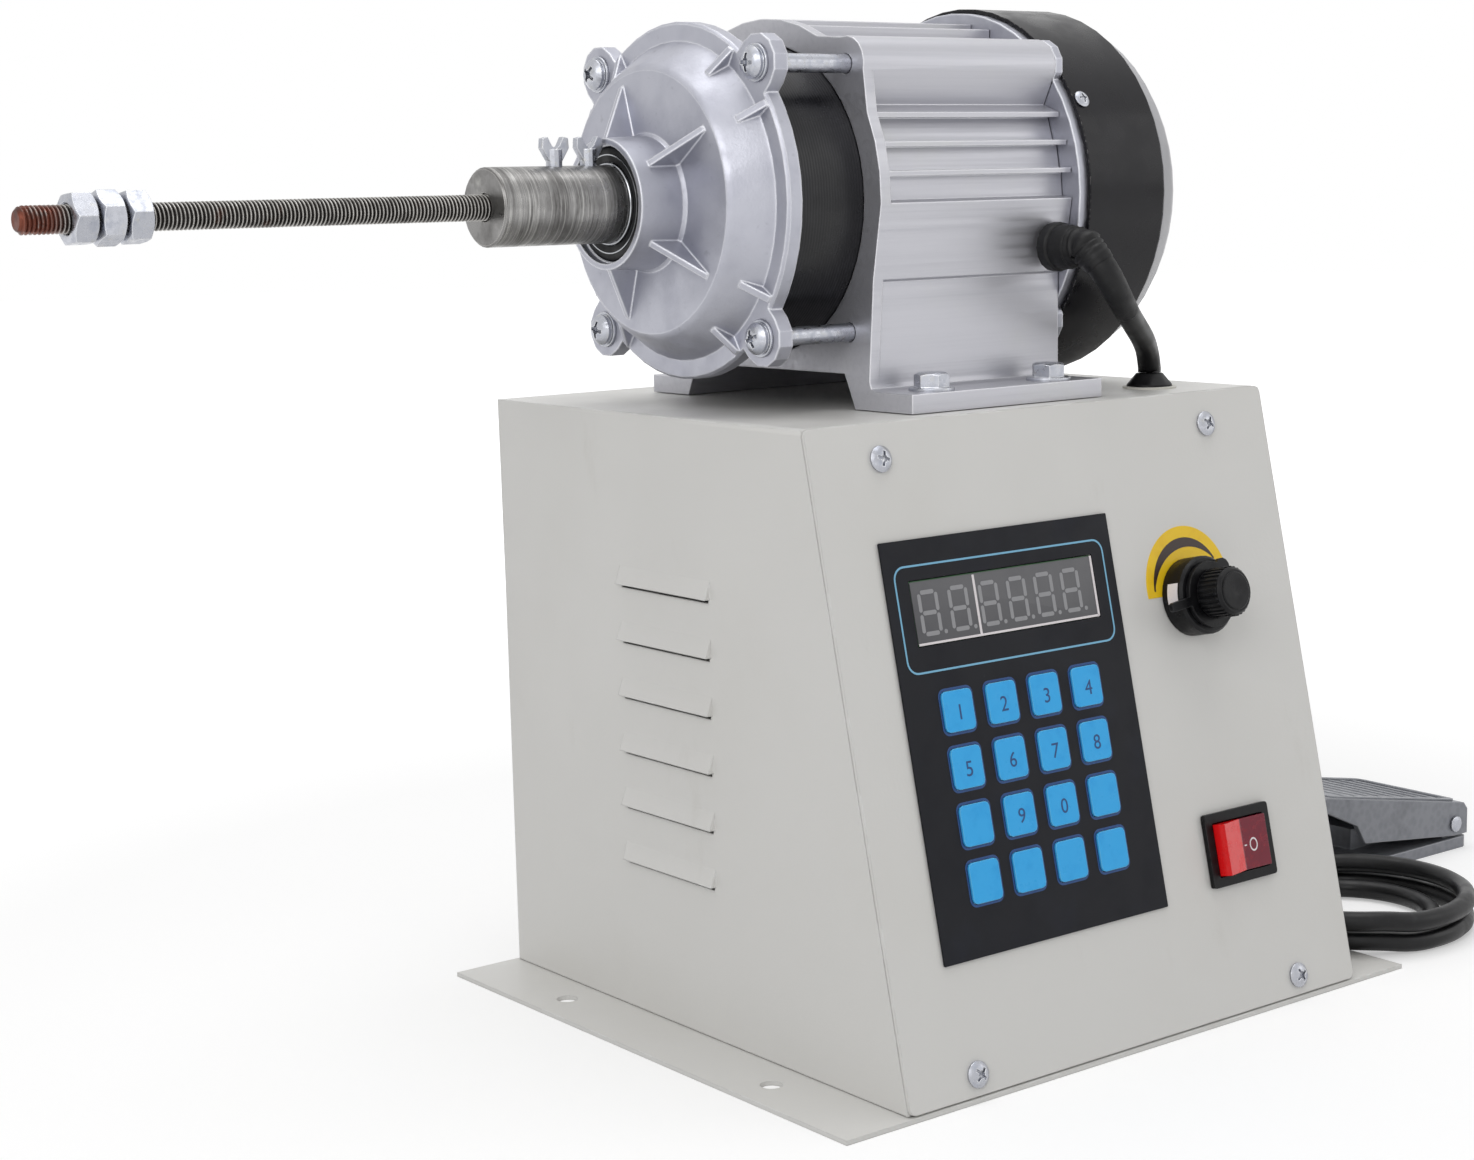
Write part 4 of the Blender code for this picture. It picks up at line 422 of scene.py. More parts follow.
soft_box("left_soft_box", (-1.5, -0.9, 1.1), (0, 0, 0.15), 1.1, 10.0)
soft_box("overhead_soft_box", (0.1, 0.1, 1.9), (0, 0, 0.1), 1.4, 12.5)
soft_box("right_soft_box", (1.3, -1.1, 0.8), (0, 0, 0.15), 0.9, 2.0)
print("three soft boxes")

# %% [markdown]
# Sheet metal, castings and rods all have edges that are a little rounded and rubbed bright. The solids
# have sharp edges, so the shader rounds them: the Bevel node gives a normal that turns over each edge, and
# where that differs from the true normal there is an edge, which can then be worn.

# %% Helpers for edges, cells and bands
def rounded_edges(material, radius):
    """Let light roll over every sharp edge, as it does on real sheet and castings."""
    shader = material.node_tree.nodes["Principled BSDF"]
    soft = add_node(material, "ShaderNodeBevel", samples=6)
    soft.inputs["Radius"].default_value = radius
    join_sockets(material, soft.outputs["Normal"], shader.inputs["Normal"])


def edge_pattern(material, radius):
    """1 on edges and 0 on flat places."""
    soft = add_node(material, "ShaderNodeBevel", samples=6)
    soft.inputs["Radius"].default_value = radius
    flat = add_node(material, "ShaderNodeNewGeometry")
    alike = add_node(material, "ShaderNodeVectorMath", operation="DOT_PRODUCT")
    join_sockets(material, soft.outputs["Normal"], alike.inputs[0])
    join_sockets(material, flat.outputs["Normal"], alike.inputs[1])
    return spread(material, alike.outputs["Value"], 0.99, 0.86)


def both(material, first, second):
    """High only where two patterns are both high."""
    product = add_node(material, "ShaderNodeMath", operation="MULTIPLY")
    join_sockets(material, first, product.inputs[0])
    join_sockets(material, second, product.inputs[1])
    return product.outputs[0]


def along(material, axis):
    """How far a point lies along x, y or z, in metres."""
    where = add_node(material, "ShaderNodeTexCoord")
    split = add_node(material, "ShaderNodeSeparateXYZ")
    join_sockets(material, where.outputs["Object"], split.inputs[0])
    return split.outputs[axis]


def pebbles(material, size, feature="F1"):
    cells = add_node(material, "ShaderNodeTexVoronoi", feature=feature)
    cells.inputs["Scale"].default_value = 1 / size
    join_sockets(material, stretched_place(material), cells.inputs["Vector"])
    return cells.outputs["Distance"]


def dress(finish, *names):
    """Give solids their finish. Their shapes stay as they were packed."""
    for name in names:
        solid = frame["nodes"][name]
        for holder in solid.material_slots:
            holder.material = finish
    print(f"{finish.name}: {len(names)} solids")


node_body = {name: body for body, names in frame["record"]["behaviour"]["bodies"].items() for name in names}


def dress_round(finish, slot, *names):
    """Show a merged copy of a turned or cast solid, so that light runs smoothly around it."""
    for name in names:
        shape = bmesh.new()
        shape.from_mesh(frame["nodes"][name].data)
        bmesh.ops.remove_doubles(shape, verts=shape.verts, dist=0.00001)
        bmesh.ops.dissolve_limit(shape, angle_limit=math.radians(0.5), verts=shape.verts, edges=shape.edges)
        bmesh.ops.recalc_face_normals(shape, faces=shape.faces)
        for face in shape.faces:
            face.smooth = True
        for edge in shape.edges:
            edge.smooth = edge.is_manifold and edge.calc_face_angle(0) < math.radians(27)
        mesh = bpy.data.meshes.new(f"{name}_surface")
        shape.to_mesh(mesh)
        shape.free()
        mesh.materials.append(finish)
        piece = bpy.data.objects.new(f"{name}_surface", mesh)
        bpy.context.scene.collection.objects.link(piece)
        even = piece.modifiers.new("even shading", "WEIGHTED_NORMAL")
        even.keep_sharp = True
        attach(piece, node_body[name])
        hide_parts(name)
    print(f"{finish.name}: {len(names)} smooth surfaces")


# %% [markdown]
# The cabinet is folded steel with a baked powder coat, pale and a touch warm. Powder leaves a fine
# orange peel. Bench use adds faint dirt in clouds, rubbed edges and a few long light scuffs.

# %% Cabinet paint
cream_paint = start_finish("cream powder coat", (219, 218, 215), 0.42)
rounded_edges(cream_paint, 0.0007)
tint(cream_paint, spread(cream_paint, cloudy(cream_paint, 0.09), 0.45, 0.8, 0, 0.35), (208, 206, 200))
grime = cloudy(cream_paint, 0.018, stretched_place(cream_paint, (1, 1, 0.35)), 6, 0.65)
tint(cream_paint, spread(cream_paint, grime, 0.6, 0.85, 0, 0.25), (186, 183, 174))
rubbed_edges = edge_pattern(cream_paint, 0.0009)
rubbed = both(cream_paint, rubbed_edges, spread(cream_paint, cloudy(cream_paint, 0.012), 0.48, 0.6))
tint(cream_paint, rubbed, (236, 236, 234))
uneven_gloss(cream_paint, cloudy(cream_paint, 0.03), 0.36, 0.5)
grain(cream_paint, cloudy(cream_paint, 0.0011, detail=2), 0.00005, 0.6)
dress(cream_paint, "body_shell", "front_panel", "base_plate")

# %% [markdown]
# The bells are aluminium castings that were tumbled clean. Their skin is a soft satin with sand grain and
# darker pools in the hollows between the ribs, and the rib crests are rubbed brighter.

# %% Cast aluminium
cast_aluminium = start_finish("tumbled cast aluminium", (175, 176, 185), 0.36, 0.9)
rounded_edges(cast_aluminium, 0.0009)
tint(cast_aluminium, spread(cast_aluminium, cloudy(cast_aluminium, 0.014), 0.42, 0.75, 0, 0.5), (158, 159, 170))
tint(cast_aluminium, spread(cast_aluminium, cloudy(cast_aluminium, 0.003), 0.62, 0.8, 0, 0.35), (120, 120, 128))
tint(cast_aluminium, edge_pattern(cast_aluminium, 0.0012), (226, 227, 232))
uneven_gloss(cast_aluminium, cloudy(cast_aluminium, 0.009), 0.36, 0.55)
grain(cast_aluminium, cloudy(cast_aluminium, 0.0008, detail=5), 0.00006, 0.8)
grain(cast_aluminium, cloudy(cast_aluminium, 0.006), 0.0002, 0.5)
dress_round(cast_aluminium, "cast_aluminium", "front_bell", "rear_bell")

# %% [markdown]
# The motor's body is a length of extruded aluminium with cooling fins. Pushing it through the die
# leaves straight fine lines along its whole length, so the pattern is stretched along x.

# %% Extruded aluminium
extruded_aluminium = start_finish("extruded aluminium", (189, 189, 195), 0.4, 0.75)
rounded_edges(extruded_aluminium, 0.0006)
die_lines = cloudy(extruded_aluminium, 0.0016, stretched_place(extruded_aluminium, (0.01, 1, 1)), 6, 0.7)
tint(extruded_aluminium, spread(extruded_aluminium, die_lines, 0.45, 0.75, 0, 0.4), (176, 177, 184))
tint(extruded_aluminium, spread(extruded_aluminium, cloudy(extruded_aluminium, 0.03), 0.5, 0.8, 0, 0.4), (190, 191, 188))
tint(extruded_aluminium, edge_pattern(extruded_aluminium, 0.0008), (232, 232, 236))
uneven_gloss(extruded_aluminium, die_lines, 0.34, 0.5)
grain(extruded_aluminium, die_lines, 0.00008, 0.7)
dress_round(extruded_aluminium, "extruded_aluminium", "motor_housing")

# %% [markdown]
# The fan cover is pressed steel in gloss black enamel, and the grille behind it is the same paint on thinner
# sheet. Gloss black shows mostly what it mirrors, so a coat carries the gloss over a near black base.

# %% Gloss black enamel
black_enamel = start_finish("gloss black enamel", (14, 13, 18), 0.28)
rounded_edges(black_enamel, 0.0008)
tint(black_enamel, spread(black_enamel, cloudy(black_enamel, 0.02), 0.5, 0.8, 0, 0.35), (30, 29, 36))
dust = cloudy(black_enamel, 0.0015, None, 6, 0.7)
tint(black_enamel, spread(black_enamel, dust, 0.68, 0.82, 0, 0.2), (84, 84, 88))
chipped = both(black_enamel, edge_pattern(black_enamel, 0.0007), spread(black_enamel, dust, 0.5, 0.6))
tint(black_enamel, chipped, (120, 118, 118))
uneven_gloss(black_enamel, cloudy(black_enamel, 0.012), 0.22, 0.38)
grain(black_enamel, cloudy(black_enamel, 0.003), 0.00005, 0.35)
constant(black_enamel, Specular_IOR_Level=0.2, Coat_Weight=0.06, Coat_Roughness=0.12)
dress_round(black_enamel, "black_paint", "fan_cover")

grille_paint = start_finish("pale grille coat", (168, 168, 172), 0.38)
rounded_edges(grille_paint, 0.0006)
tint(grille_paint, spread(grille_paint, cloudy(grille_paint, 0.012), 0.5, 0.8, 0, 0.4), (140, 140, 146))
grain(grille_paint, cloudy(grille_paint, 0.001), 0.00004, 0.5)
dress_round(grille_paint, "black_paint", "rear_grille")

# %% [markdown]
# The stator is a stack of thin steel sheets in black varnish. The edges of the sheets stay visible as
# bands around the motor, so bands run across x, and the varnish pools between them.

# %% Stator and inner steel
def sheet_bands(material, pitch):
    """Bands across the motor's length, one for each sheet of the stack."""
    bands = add_node(material, "ShaderNodeTexWave", bands_direction="X", wave_profile="SIN")
    bands.inputs["Scale"].default_value = math.tau / 20 / pitch
    bands.inputs["Distortion"].default_value = 0.0
    join_sockets(material, stretched_place(material), bands.inputs["Vector"])
    return bands.outputs["Fac"]


stator_varnish = start_finish("varnished stator sheets", (18, 18, 21), 0.34, 0.1)
stack = sheet_bands(stator_varnish, 0.0011)
thin_varnish = both(stator_varnish, stack, spread(stator_varnish, cloudy(stator_varnish, 0.01), 0.4, 0.7))
tint(stator_varnish, thin_varnish, (34, 34, 38))
uneven_gloss(stator_varnish, cloudy(stator_varnish, 0.014), 0.24, 0.46)
grain(stator_varnish, stack, 0.00005, 0.7)
grain(stator_varnish, cloudy(stator_varnish, 0.008), 0.0001, 0.4)
constant(stator_varnish, Specular_IOR_Level=0.3, Coat_Weight=0.1, Coat_Roughness=0.2)
dress(stator_varnish, "rotor")
dress_round(stator_varnish, "stator_steel", "stator")

supply_steel = start_finish("galvanised power supply case", (150, 154, 158), 0.4, 0.8)
tint(supply_steel, spread(supply_steel, pebbles(supply_steel, 0.008), 0.1, 0.6, 0, 0.7), (184, 188, 192))
grain(supply_steel, cloudy(supply_steel, 0.001), 0.00004, 0.5)
dress(supply_steel, "power_supply")

# %% [markdown]
# The coupler was turned from a bar and left bare. The tool leaves fine rings, and oil and handling
# leave dark stains between bright rubbed bands. Rings around the x axis come from a noise that changes
# quickly along x and hardly at all around it.

# %% Turned steel
turned_steel = start_finish("turned bare steel", (140, 139, 138), 0.3, 0.95)
rounded_edges(turned_steel, 0.0005)
rings = cloudy(turned_steel, 0.0007, stretched_place(turned_steel, (1, 0.02, 0.02)), 5, 0.7)
stains = cloudy(turned_steel, 0.009, stretched_place(turned_steel, (1.6, 0.6, 0.6)), 5, 0.6)
tint(turned_steel, spread(turned_steel, stains, 0.42, 0.72, 0, 0.7), (74, 72, 70))
tint(turned_steel, spread(turned_steel, rings, 0.5, 0.7, 0, 0.8), (192, 191, 188))
tint(turned_steel, edge_pattern(turned_steel, 0.0006), (186, 184, 180))
tint(turned_steel, spread(turned_steel, rings, 0.46, 0.34, 0, 0.6), (70, 68, 66))
uneven_gloss(turned_steel, stains, 0.22, 0.42)
grain(turned_steel, rings, 0.00008, 0.9)
dress_round(turned_steel, "turned_steel", "coupler")

# %% [markdown]
# The threaded rod is blackened steel. Nuts running over it keep the crests of the thread bright,
# the valleys stay dark, and its bare tip has begun to rust. The distance from the rod's own axis
# tells crests from valleys.

# %% Threaded rod steel
AXLE_Y, AXLE_Z = 0.020, 0.266


def from_axle(material):
    """Distance from the spindle's axis, in metres."""
    moved = stretched_place(material, (0, 1, 1), (0, -AXLE_Y, -AXLE_Z))
    reach = add_node(material, "ShaderNodeVectorMath", operation="LENGTH")
    join_sockets(material, moved, reach.inputs[0])
    return reach.outputs["Value"]


rod_steel = start_finish("blackened rod steel", (58, 55, 53), 0.42, 0.85)
crests = spread(rod_steel, from_axle(rod_steel), 0.00362, 0.00392)
bright_crests = both(rod_steel, crests, spread(rod_steel, cloudy(rod_steel, 0.004), 0.25, 0.6, 0.45, 1.0))
tint(rod_steel, bright_crests, (196, 194, 190))
near_tip = spread(rod_steel, along(rod_steel, "X"), -0.288, -0.296)
rust = both(rod_steel, near_tip, spread(rod_steel, cloudy(rod_steel, 0.003), 0.3, 0.55, 0.35, 0.95))
tint(rod_steel, rust, (112, 62, 48))
spots = spread(rod_steel, cloudy(rod_steel, 0.009), 0.6, 0.72, 0, 0.5)
tint(rod_steel, spots, (98, 66, 54))
uneven_gloss(rod_steel, cloudy(rod_steel, 0.005), 0.3, 0.6)
grain(rod_steel, cloudy(rod_steel, 0.0005), 0.00003, 0.6)
print(rod_steel.name)

# %% [markdown]
# Nuts, bolts and screws are zinc plated. Zinc is bright but never even: it has a bluish and a
# yellowish tint in patches, small dull spots, and flats that were rubbed by spanners.

# %% Zinc plating and bearing steel
zinc = start_finish("zinc plating", (178, 180, 187), 0.26, 1.0)
rounded_edges(zinc, 0.0004)
tint(zinc, spread(zinc, cloudy(zinc, 0.004), 0.45, 0.75, 0, 0.6), (150, 155, 168))
passivated = cloudy(zinc, 0.0025, stretched_place(zinc, shift=(3, 1, 2)))
tint(zinc, spread(zinc, passivated, 0.55, 0.8, 0, 0.5), (186, 183, 170))
tint(zinc, spread(zinc, cloudy(zinc, 0.0012), 0.64, 0.8, 0, 0.3), (120, 120, 126))
tint(zinc, edge_pattern(zinc, 0.0005), (222, 223, 226))
uneven_gloss(zinc, cloudy(zinc, 0.002), 0.22, 0.46)
grain(zinc, cloudy(zinc, 0.0006), 0.00003, 0.7)
bolts = [f"through_bolt_{count}" for count in (1, 2, 3, 4)]
dress_round(zinc, "zinc_steel", "wing_screw_1", "wing_screw_2", "pedal_pin")

bearing_steel = start_finish("ground bearing steel", (176, 178, 182), 0.22, 1.0)
bearing_rings = cloudy(bearing_steel, 0.0005, stretched_place(bearing_steel, (1, 0.05, 0.05)), 4, 0.6)
tint(bearing_steel, spread(bearing_steel, bearing_rings, 0.5, 0.75, 0, 0.5), (138, 138, 142))
grain(bearing_steel, bearing_rings, 0.00003, 0.5)
dress_round(bearing_steel, "bearing_steel", "front_bearing", "rear_bearing")

# %% [markdown]
# The keypad is a printed plastic film, matt, with blue keys that stand up a little. Film has a very fine
# tooth so that fingers don't slip, and the keys are glossier where they have been pressed most.

# %% Keypad film
film = start_finish("matt black keypad film", (20, 21, 27), 0.42)
tint(film, spread(film, cloudy(film, 0.02), 0.5, 0.8, 0, 0.5), (27, 30, 40))
tint(film, spread(film, cloudy(film, 0.0012), 0.68, 0.82, 0, 0.3), (48, 50, 58))
uneven_gloss(film, cloudy(film, 0.012), 0.38, 0.54)
grain(film, cloudy(film, 0.00035), 0.00002, 0.7)
constant(film, Specular_IOR_Level=0.18)
dress(film, "keypad_overlay")

key_film = start_finish("blue key film", (62, 178, 244), 0.36)
tint(key_film, spread(key_film, cloudy(key_film, 0.005), 0.45, 0.8, 0, 0.6), (44, 160, 232))
constant(key_film, Specular_IOR_Level=0.25)
rounded_edges(key_film, 0.0005)
tint(key_film, edge_pattern(key_film, 0.0005), (120, 208, 248))
uneven_gloss(key_film, cloudy(key_film, 0.004), 0.26, 0.46)
grain(key_film, cloudy(key_film, 0.0004), 0.00002, 0.6)
dress(key_film, *[f"key_{count:02d}" for count in range(1, 17)])

board_green = start_finish("green circuit board", (30, 84, 48), 0.4)
tracks = add_node(board_green, "ShaderNodeTexBrick", offset=0.3, squash=1.4)
tracks.inputs["Scale"].default_value = 260
tracks.inputs["Mortar Size"].default_value = 0.05
join_sockets(board_green, stretched_place(board_green), tracks.inputs["Vector"])
tint(board_green, spread(board_green, tracks.outputs["Fac"], 0.2, 0.8, 0, 0.7), (60, 128, 66))
grain(board_green, tracks.outputs["Fac"], 0.00005, 0.5)
dress(board_green, "control_board")

# %% [markdown]
# The switch frame, the dial, the speed control and the mains socket are moulded in black plastic. Mouldings
# have a spark-eroded texture from the tool, and fingers polish the places that they touch.

# %% Black, red and rubber mouldings
black_plastic = start_finish("black moulded plastic", (14, 14, 16), 0.38)
rounded_edges(black_plastic, 0.0004)
tint(black_plastic, spread(black_plastic, cloudy(black_plastic, 0.004), 0.5, 0.8, 0, 0.4), (32, 32, 35))
moulded_edges = edge_pattern(black_plastic, 0.0005)
handled = both(black_plastic, moulded_edges, spread(black_plastic, cloudy(black_plastic, 0.003), 0.4, 0.6))
tint(black_plastic, handled, (62, 62, 64))
constant(black_plastic, Specular_IOR_Level=0.2)
uneven_gloss(black_plastic, cloudy(black_plastic, 0.003), 0.26, 0.5)
grain(black_plastic, cloudy(black_plastic, 0.0005), 0.00004, 0.6)
dress(black_plastic, "rocker_frame", "speed_pot", "mains_inlet", "cooling_fan")
dress_round(black_plastic, "black_plastic", "dial_collar", "dial_knob", "dial_lock")

red_plastic = start_finish("clear red switch plastic", (236, 22, 26), 0.2)
rounded_edges(red_plastic, 0.0004)
# Past x = 53.5 mm the button is tinted a darker red. This is painted shade for the pressed-down half of the rocker.
painted_shade_half = spread(red_plastic, along(red_plastic, "X"), 0.0530, 0.0540)
tint(red_plastic, painted_shade_half, (116, 14, 40))
tint(red_plastic, spread(red_plastic, cloudy(red_plastic, 0.002), 0.5, 0.8, 0, 0.3), (180, 26, 34))
uneven_gloss(red_plastic, cloudy(red_plastic, 0.004), 0.12, 0.3)
grain(red_plastic, cloudy(red_plastic, 0.0015), 0.00003, 0.4)
constant(red_plastic, Specular_IOR_Level=0.3, Coat_Weight=0.15, Coat_Roughness=0.08)
dress(red_plastic, "rocker_button")

rubber = start_finish("black rubber fitting", (13, 13, 15), 0.48)
rounded_edges(rubber, 0.0005)
tint(rubber, spread(rubber, cloudy(rubber, 0.003), 0.5, 0.8, 0, 0.4), (34, 34, 36))
constant(rubber, Specular_IOR_Level=0.3)
uneven_gloss(rubber, cloudy(rubber, 0.005), 0.36, 0.62)
grain(rubber, cloudy(rubber, 0.0007), 0.00006, 0.6)
dress_round(rubber, "rubber", "lead_grommet", "cable_gland", "foot_cord_gland")

# %% [markdown]
# The foot switch is a grey casting in hammer paint. That paint dries into small round dimples with
# a silvery shimmer, which cells make well, and shoes rub it smooth and darker on top.

# %% Hammer paint
hammer_paint = start_finish("grey hammer paint", (126, 128, 134), 0.42, 0.35)
rounded_edges(hammer_paint, 0.001)
dimples = pebbles(hammer_paint, 0.0028)
tint(hammer_paint, spread(hammer_paint, dimples, 0.25, 0.7, 0, 0.35), (146, 148, 154))
tint(hammer_paint, spread(hammer_paint, cloudy(hammer_paint, 0.012), 0.5, 0.8, 0, 0.5), (108, 109, 114))
tint(hammer_paint, edge_pattern(hammer_paint, 0.001), (156, 158, 163))
uneven_gloss(hammer_paint, cloudy(hammer_paint, 0.006), 0.34, 0.52)
grain(hammer_paint, dimples, 0.0001, 0.6)
dress(hammer_paint, "pedal_base", "pedal_treadle")

# %% [markdown]
# The small parts are modelled in millimetres, each on its own flat workplace: one lies on the sloping front
# panel, one stands on the spindle's axis and one lies on the pedal's tread. A matrix then carries the
# mesh to its place, so every finished object stays at the origin.

# %% Workplaces and mesh helpers
def workplace(origin, across, along_it, outward):
    axes = Matrix((Vector(across), Vector(along_it), Vector(outward))).transposed().to_4x4()
    return Matrix.Translation(Vector(origin) * MM) @ axes @ Matrix.Scale(MM, 4)


TILT = math.atan(45 / 200)
PANEL = workplace(
    (0, -105, 0), (1, 0, 0), (0, math.sin(TILT), math.cos(TILT)), (0, -math.cos(TILT), math.sin(TILT))
)
AXLE = workplace((0, 20, 266), (0, 0, 1), (0, 1, 0), (-1, 0, 0))
BENCH = workplace((0, 0, 0), (1, 0, 0), (0, 1, 0), (0, 0, 1))
RISE = math.atan(15.5 / 86)
TREAD = workplace(
    (275.5, 6.5, 18), (0, 1, 0), (-math.cos(RISE), 0, math.sin(RISE)), (math.sin(RISE), 0, math.cos(RISE))
)


def make_piece(name, shape, place, finish, body):
    """Carry a shape to its place and make it a smooth piece with crisp edges."""
    bmesh.ops.remove_doubles(shape, verts=shape.verts, dist=0.002)
    bmesh.ops.transform(shape, matrix=place, verts=shape.verts)
    bmesh.ops.recalc_face_normals(shape, faces=shape.faces)
    for face in shape.faces:
        face.smooth = True
    for edge in shape.edges:
        edge.smooth = edge.is_manifold and edge.calc_face_angle(0) < math.radians(32)
    mesh = bpy.data.meshes.new(name)
    shape.to_mesh(mesh)
    shape.free()
    mesh.materials.append(finish)
    piece = bpy.data.objects.new(name, mesh)
    bpy.context.scene.collection.objects.link(piece)
    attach(piece, body)
    return piece


def turned(profile, steps=48, closed=False):
    """Spin a profile of (radius, height) points once around the workplace's z axis."""
    shape = bmesh.new()
    points = [shape.verts.new((radius, 0, height)) for radius, height in profile]
    pairs = list(zip(points, points[1:]))
    if closed:
        pairs.append((points[-1], points[0]))
    rim = [shape.edges.new(pair) for pair in pairs]
    bmesh.ops.spin(
        shape, geom=points + rim, cent=(0, 0, 0), axis=(0, 0, 1), angle=math.tau, steps=steps, use_merge=True,
    )
    bmesh.ops.remove_doubles(shape, verts=shape.verts, dist=0.0005)
    bmesh.ops.recalc_face_normals(shape, faces=shape.faces)
    return shape


def rounded_slab(middle, size, low, high, corner=0.0, edge=0.0):
    shape = bmesh.new()
    place = Matrix.Translation((*middle, (low + high) / 2)) @ Matrix.Diagonal((*size, high - low, 1))
    bmesh.ops.create_cube(shape, size=1, matrix=place)
    if corner:
        upright = [line for line in shape.edges if abs(line.verts[0].co.z - line.verts[1].co.z) > 0.001]
        bmesh.ops.bevel(
            shape, geom=upright, offset=corner, segments=6, profile=0.5, affect="EDGES", material=-1,
        )
    if edge:
        top = max(shape.faces, key=lambda face: face.calc_center_median().z)
        bmesh.ops.bevel(
            shape, geom=list(top.edges), offset=edge, segments=3, profile=0.5, affect="EDGES", material=-1,
        )
    return shape


def flat_outline(middle, size, corner, width, low, high):
    """A thin raised line around a rectangle with round corners."""
    shape = bmesh.new()
    place = Matrix.Translation((*middle, low)) @ Matrix.Diagonal((*size, 1, 1))
    bmesh.ops.create_grid(shape, x_segments=1, y_segments=1, size=0.5, matrix=place)
    bmesh.ops.bevel(
        shape, geom=shape.verts[:], offset=corner, segments=6, profile=0.5, affect="VERTICES", material=-1,
    )
    bmesh.ops.inset_region(
        shape, faces=shape.faces[:], thickness=width, use_boundary=True, use_even_offset=True,
    )
    inside = max(shape.faces, key=lambda face: len(face.verts))
    bmesh.ops.delete(shape, geom=[inside], context="FACES")
    return thicken(shape, low, high)


def thicken(shape, low, high):
    """Give flat faces a wall, and let it stand from one height to the other."""
    bmesh.ops.recalc_face_normals(shape, faces=shape.faces)
    bmesh.ops.solidify(shape, geom=shape.faces[:], thickness=high - low)
    lowest = min(point.co.z for point in shape.verts)
    bmesh.ops.translate(shape, vec=(0, 0, low - lowest), verts=shape.verts)
    return shape


def moved(shape, matrix):
    bmesh.ops.transform(shape, matrix=matrix, verts=shape.verts)
    return shape


def together(*shapes):
    whole = bmesh.new()
    for shape in shapes:
        loose = bpy.data.meshes.new("loose")
        shape.to_mesh(loose)
        shape.free()
        whole.from_mesh(loose)
        bpy.data.meshes.remove(loose)
    return whole


print(f"front panel leans back {math.degrees(TILT):.1f} degrees")

# %% [markdown]
# A thread is a V that climbs around the rod by one pitch for each turn. The spin operator can climb while
# it turns, so one V-shaped edge makes the whole thread, and every turn meets the one before it. The
# rod sits in the coupler, so its inner end is simply cut square. Its tip is chamfered.

# %% Threaded rod
PITCH = 1.25
CREST, VALLEY = 3.98, 3.28
ROD_START, ROD_TIP = 124.1, 303.0
turns = math.ceil((ROD_TIP - ROD_START) / PITCH) + 2
rod = bmesh.new()
profile = [(VALLEY, 0), (VALLEY, 0.16), (CREST, 0.55), (CREST, 0.72), (VALLEY, 1.11), (VALLEY, PITCH)]
points = [rod.verts.new((radius, 0, ROD_START - PITCH + height)) for radius, height in profile]
rim = [rod.edges.new(pair) for pair in zip(points, points[1:])]
bmesh.ops.spin(
    rod, geom=points + rim, cent=(0, 0, 0), axis=(0, 0, 1), angle=math.tau * turns, steps=turns * 24,
    dvec=(0, 0, PITCH / 24),
)
bmesh.ops.remove_doubles(rod, verts=rod.verts, dist=0.004)
for height, side in ((ROD_START, -1), (ROD_TIP, 1)):
    everything = rod.verts[:] + rod.edges[:] + rod.faces[:]
    bmesh.ops.bisect_plane(
        rod, geom=everything, plane_co=(0, 0, height), plane_no=(0, 0, side), clear_outer=True, dist=0.0001,
    )
    rim = [edge for edge in rod.edges if edge.is_boundary and abs(edge.verts[0].co.z - height) < 0.01]
    bmesh.ops.edgenet_fill(rod, edges=rim)
for point in rod.verts:
    most = CREST - 1.1 * max(0.0, point.co.z - (ROD_TIP - 1.1))
    reach = math.hypot(point.co.x, point.co.y)
    if reach > most:
        point.co.x *= most / reach
        point.co.y *= most / reach
threaded_rod = make_piece("threaded_spindle", rod, AXLE, rod_steel, "spindle")
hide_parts("threaded_rod")
print(f"thread of {turns} turns, {len(threaded_rod.data.polygons)} faces")

# %% [markdown]
# Pan head screws have a low dome with a cross recess. The dome is a spun profile. The cross is cut
# with a Boolean, since a real hole catches its own shadow, and the cut mesh is kept instead of
# the modifier.

# %% Pan head with a cross recess
def cut_out(shape, cutter, operation="DIFFERENCE"):
    """What is left of a shape after a cutter, or with INTERSECT what both hold."""
    holders = []
    for part in (shape, cutter):
        bmesh.ops.recalc_face_normals(part, faces=part.faces)
        mesh = bpy.data.meshes.new("cutting")
        part.to_mesh(mesh)
        part.free()
        holders.append(bpy.data.objects.new("cutting", mesh))
        bpy.context.scene.collection.objects.link(holders[-1])
    cut = holders[0].modifiers.new("cut", "BOOLEAN")
    cut.object = holders[1]
    cut.operation = operation
    cut.solver = "EXACT"
    cut.use_self = True
    kept = holders[0].evaluated_get(bpy.context.evaluated_depsgraph_get())
    result = bmesh.new()
    result.from_mesh(kept.to_mesh())
    kept.to_mesh_clear()
    for holder in holders:
        mesh = holder.data
        bpy.data.objects.remove(holder)
        bpy.data.meshes.remove(mesh)
    return result


def pan_head(radius, height):
    """A domed head that stands on height 0, with its cross recess."""
    profile = [(0, height)]
    for step in range(1, 7):
        share = step / 6
        profile.append((radius * share, height * (1 - 0.62 * share ** 3)))
    profile += [(radius, height * 0.2), (radius * 0.94, 0), (0, 0)]
    arms = [rounded_slab((0, 0), size, height * 0.42, height * 1.3) for size in (
        (radius * 1.15, radius * 0.24), (radius * 0.24, radius * 1.15),
    )]
    centre = rounded_slab((0, 0), (radius * 0.46, radius * 0.46), height * 0.3, height * 1.3)
    return cut_out(turned(profile, 32), together(*arms, centre))


def plain_washer(radius, hole, thickness):
    rim = [(hole, 0), (radius, 0), (radius, thickness * 0.7), (radius * 0.97, thickness), (hole, thickness)]
    return turned(rim, 40, closed=True)


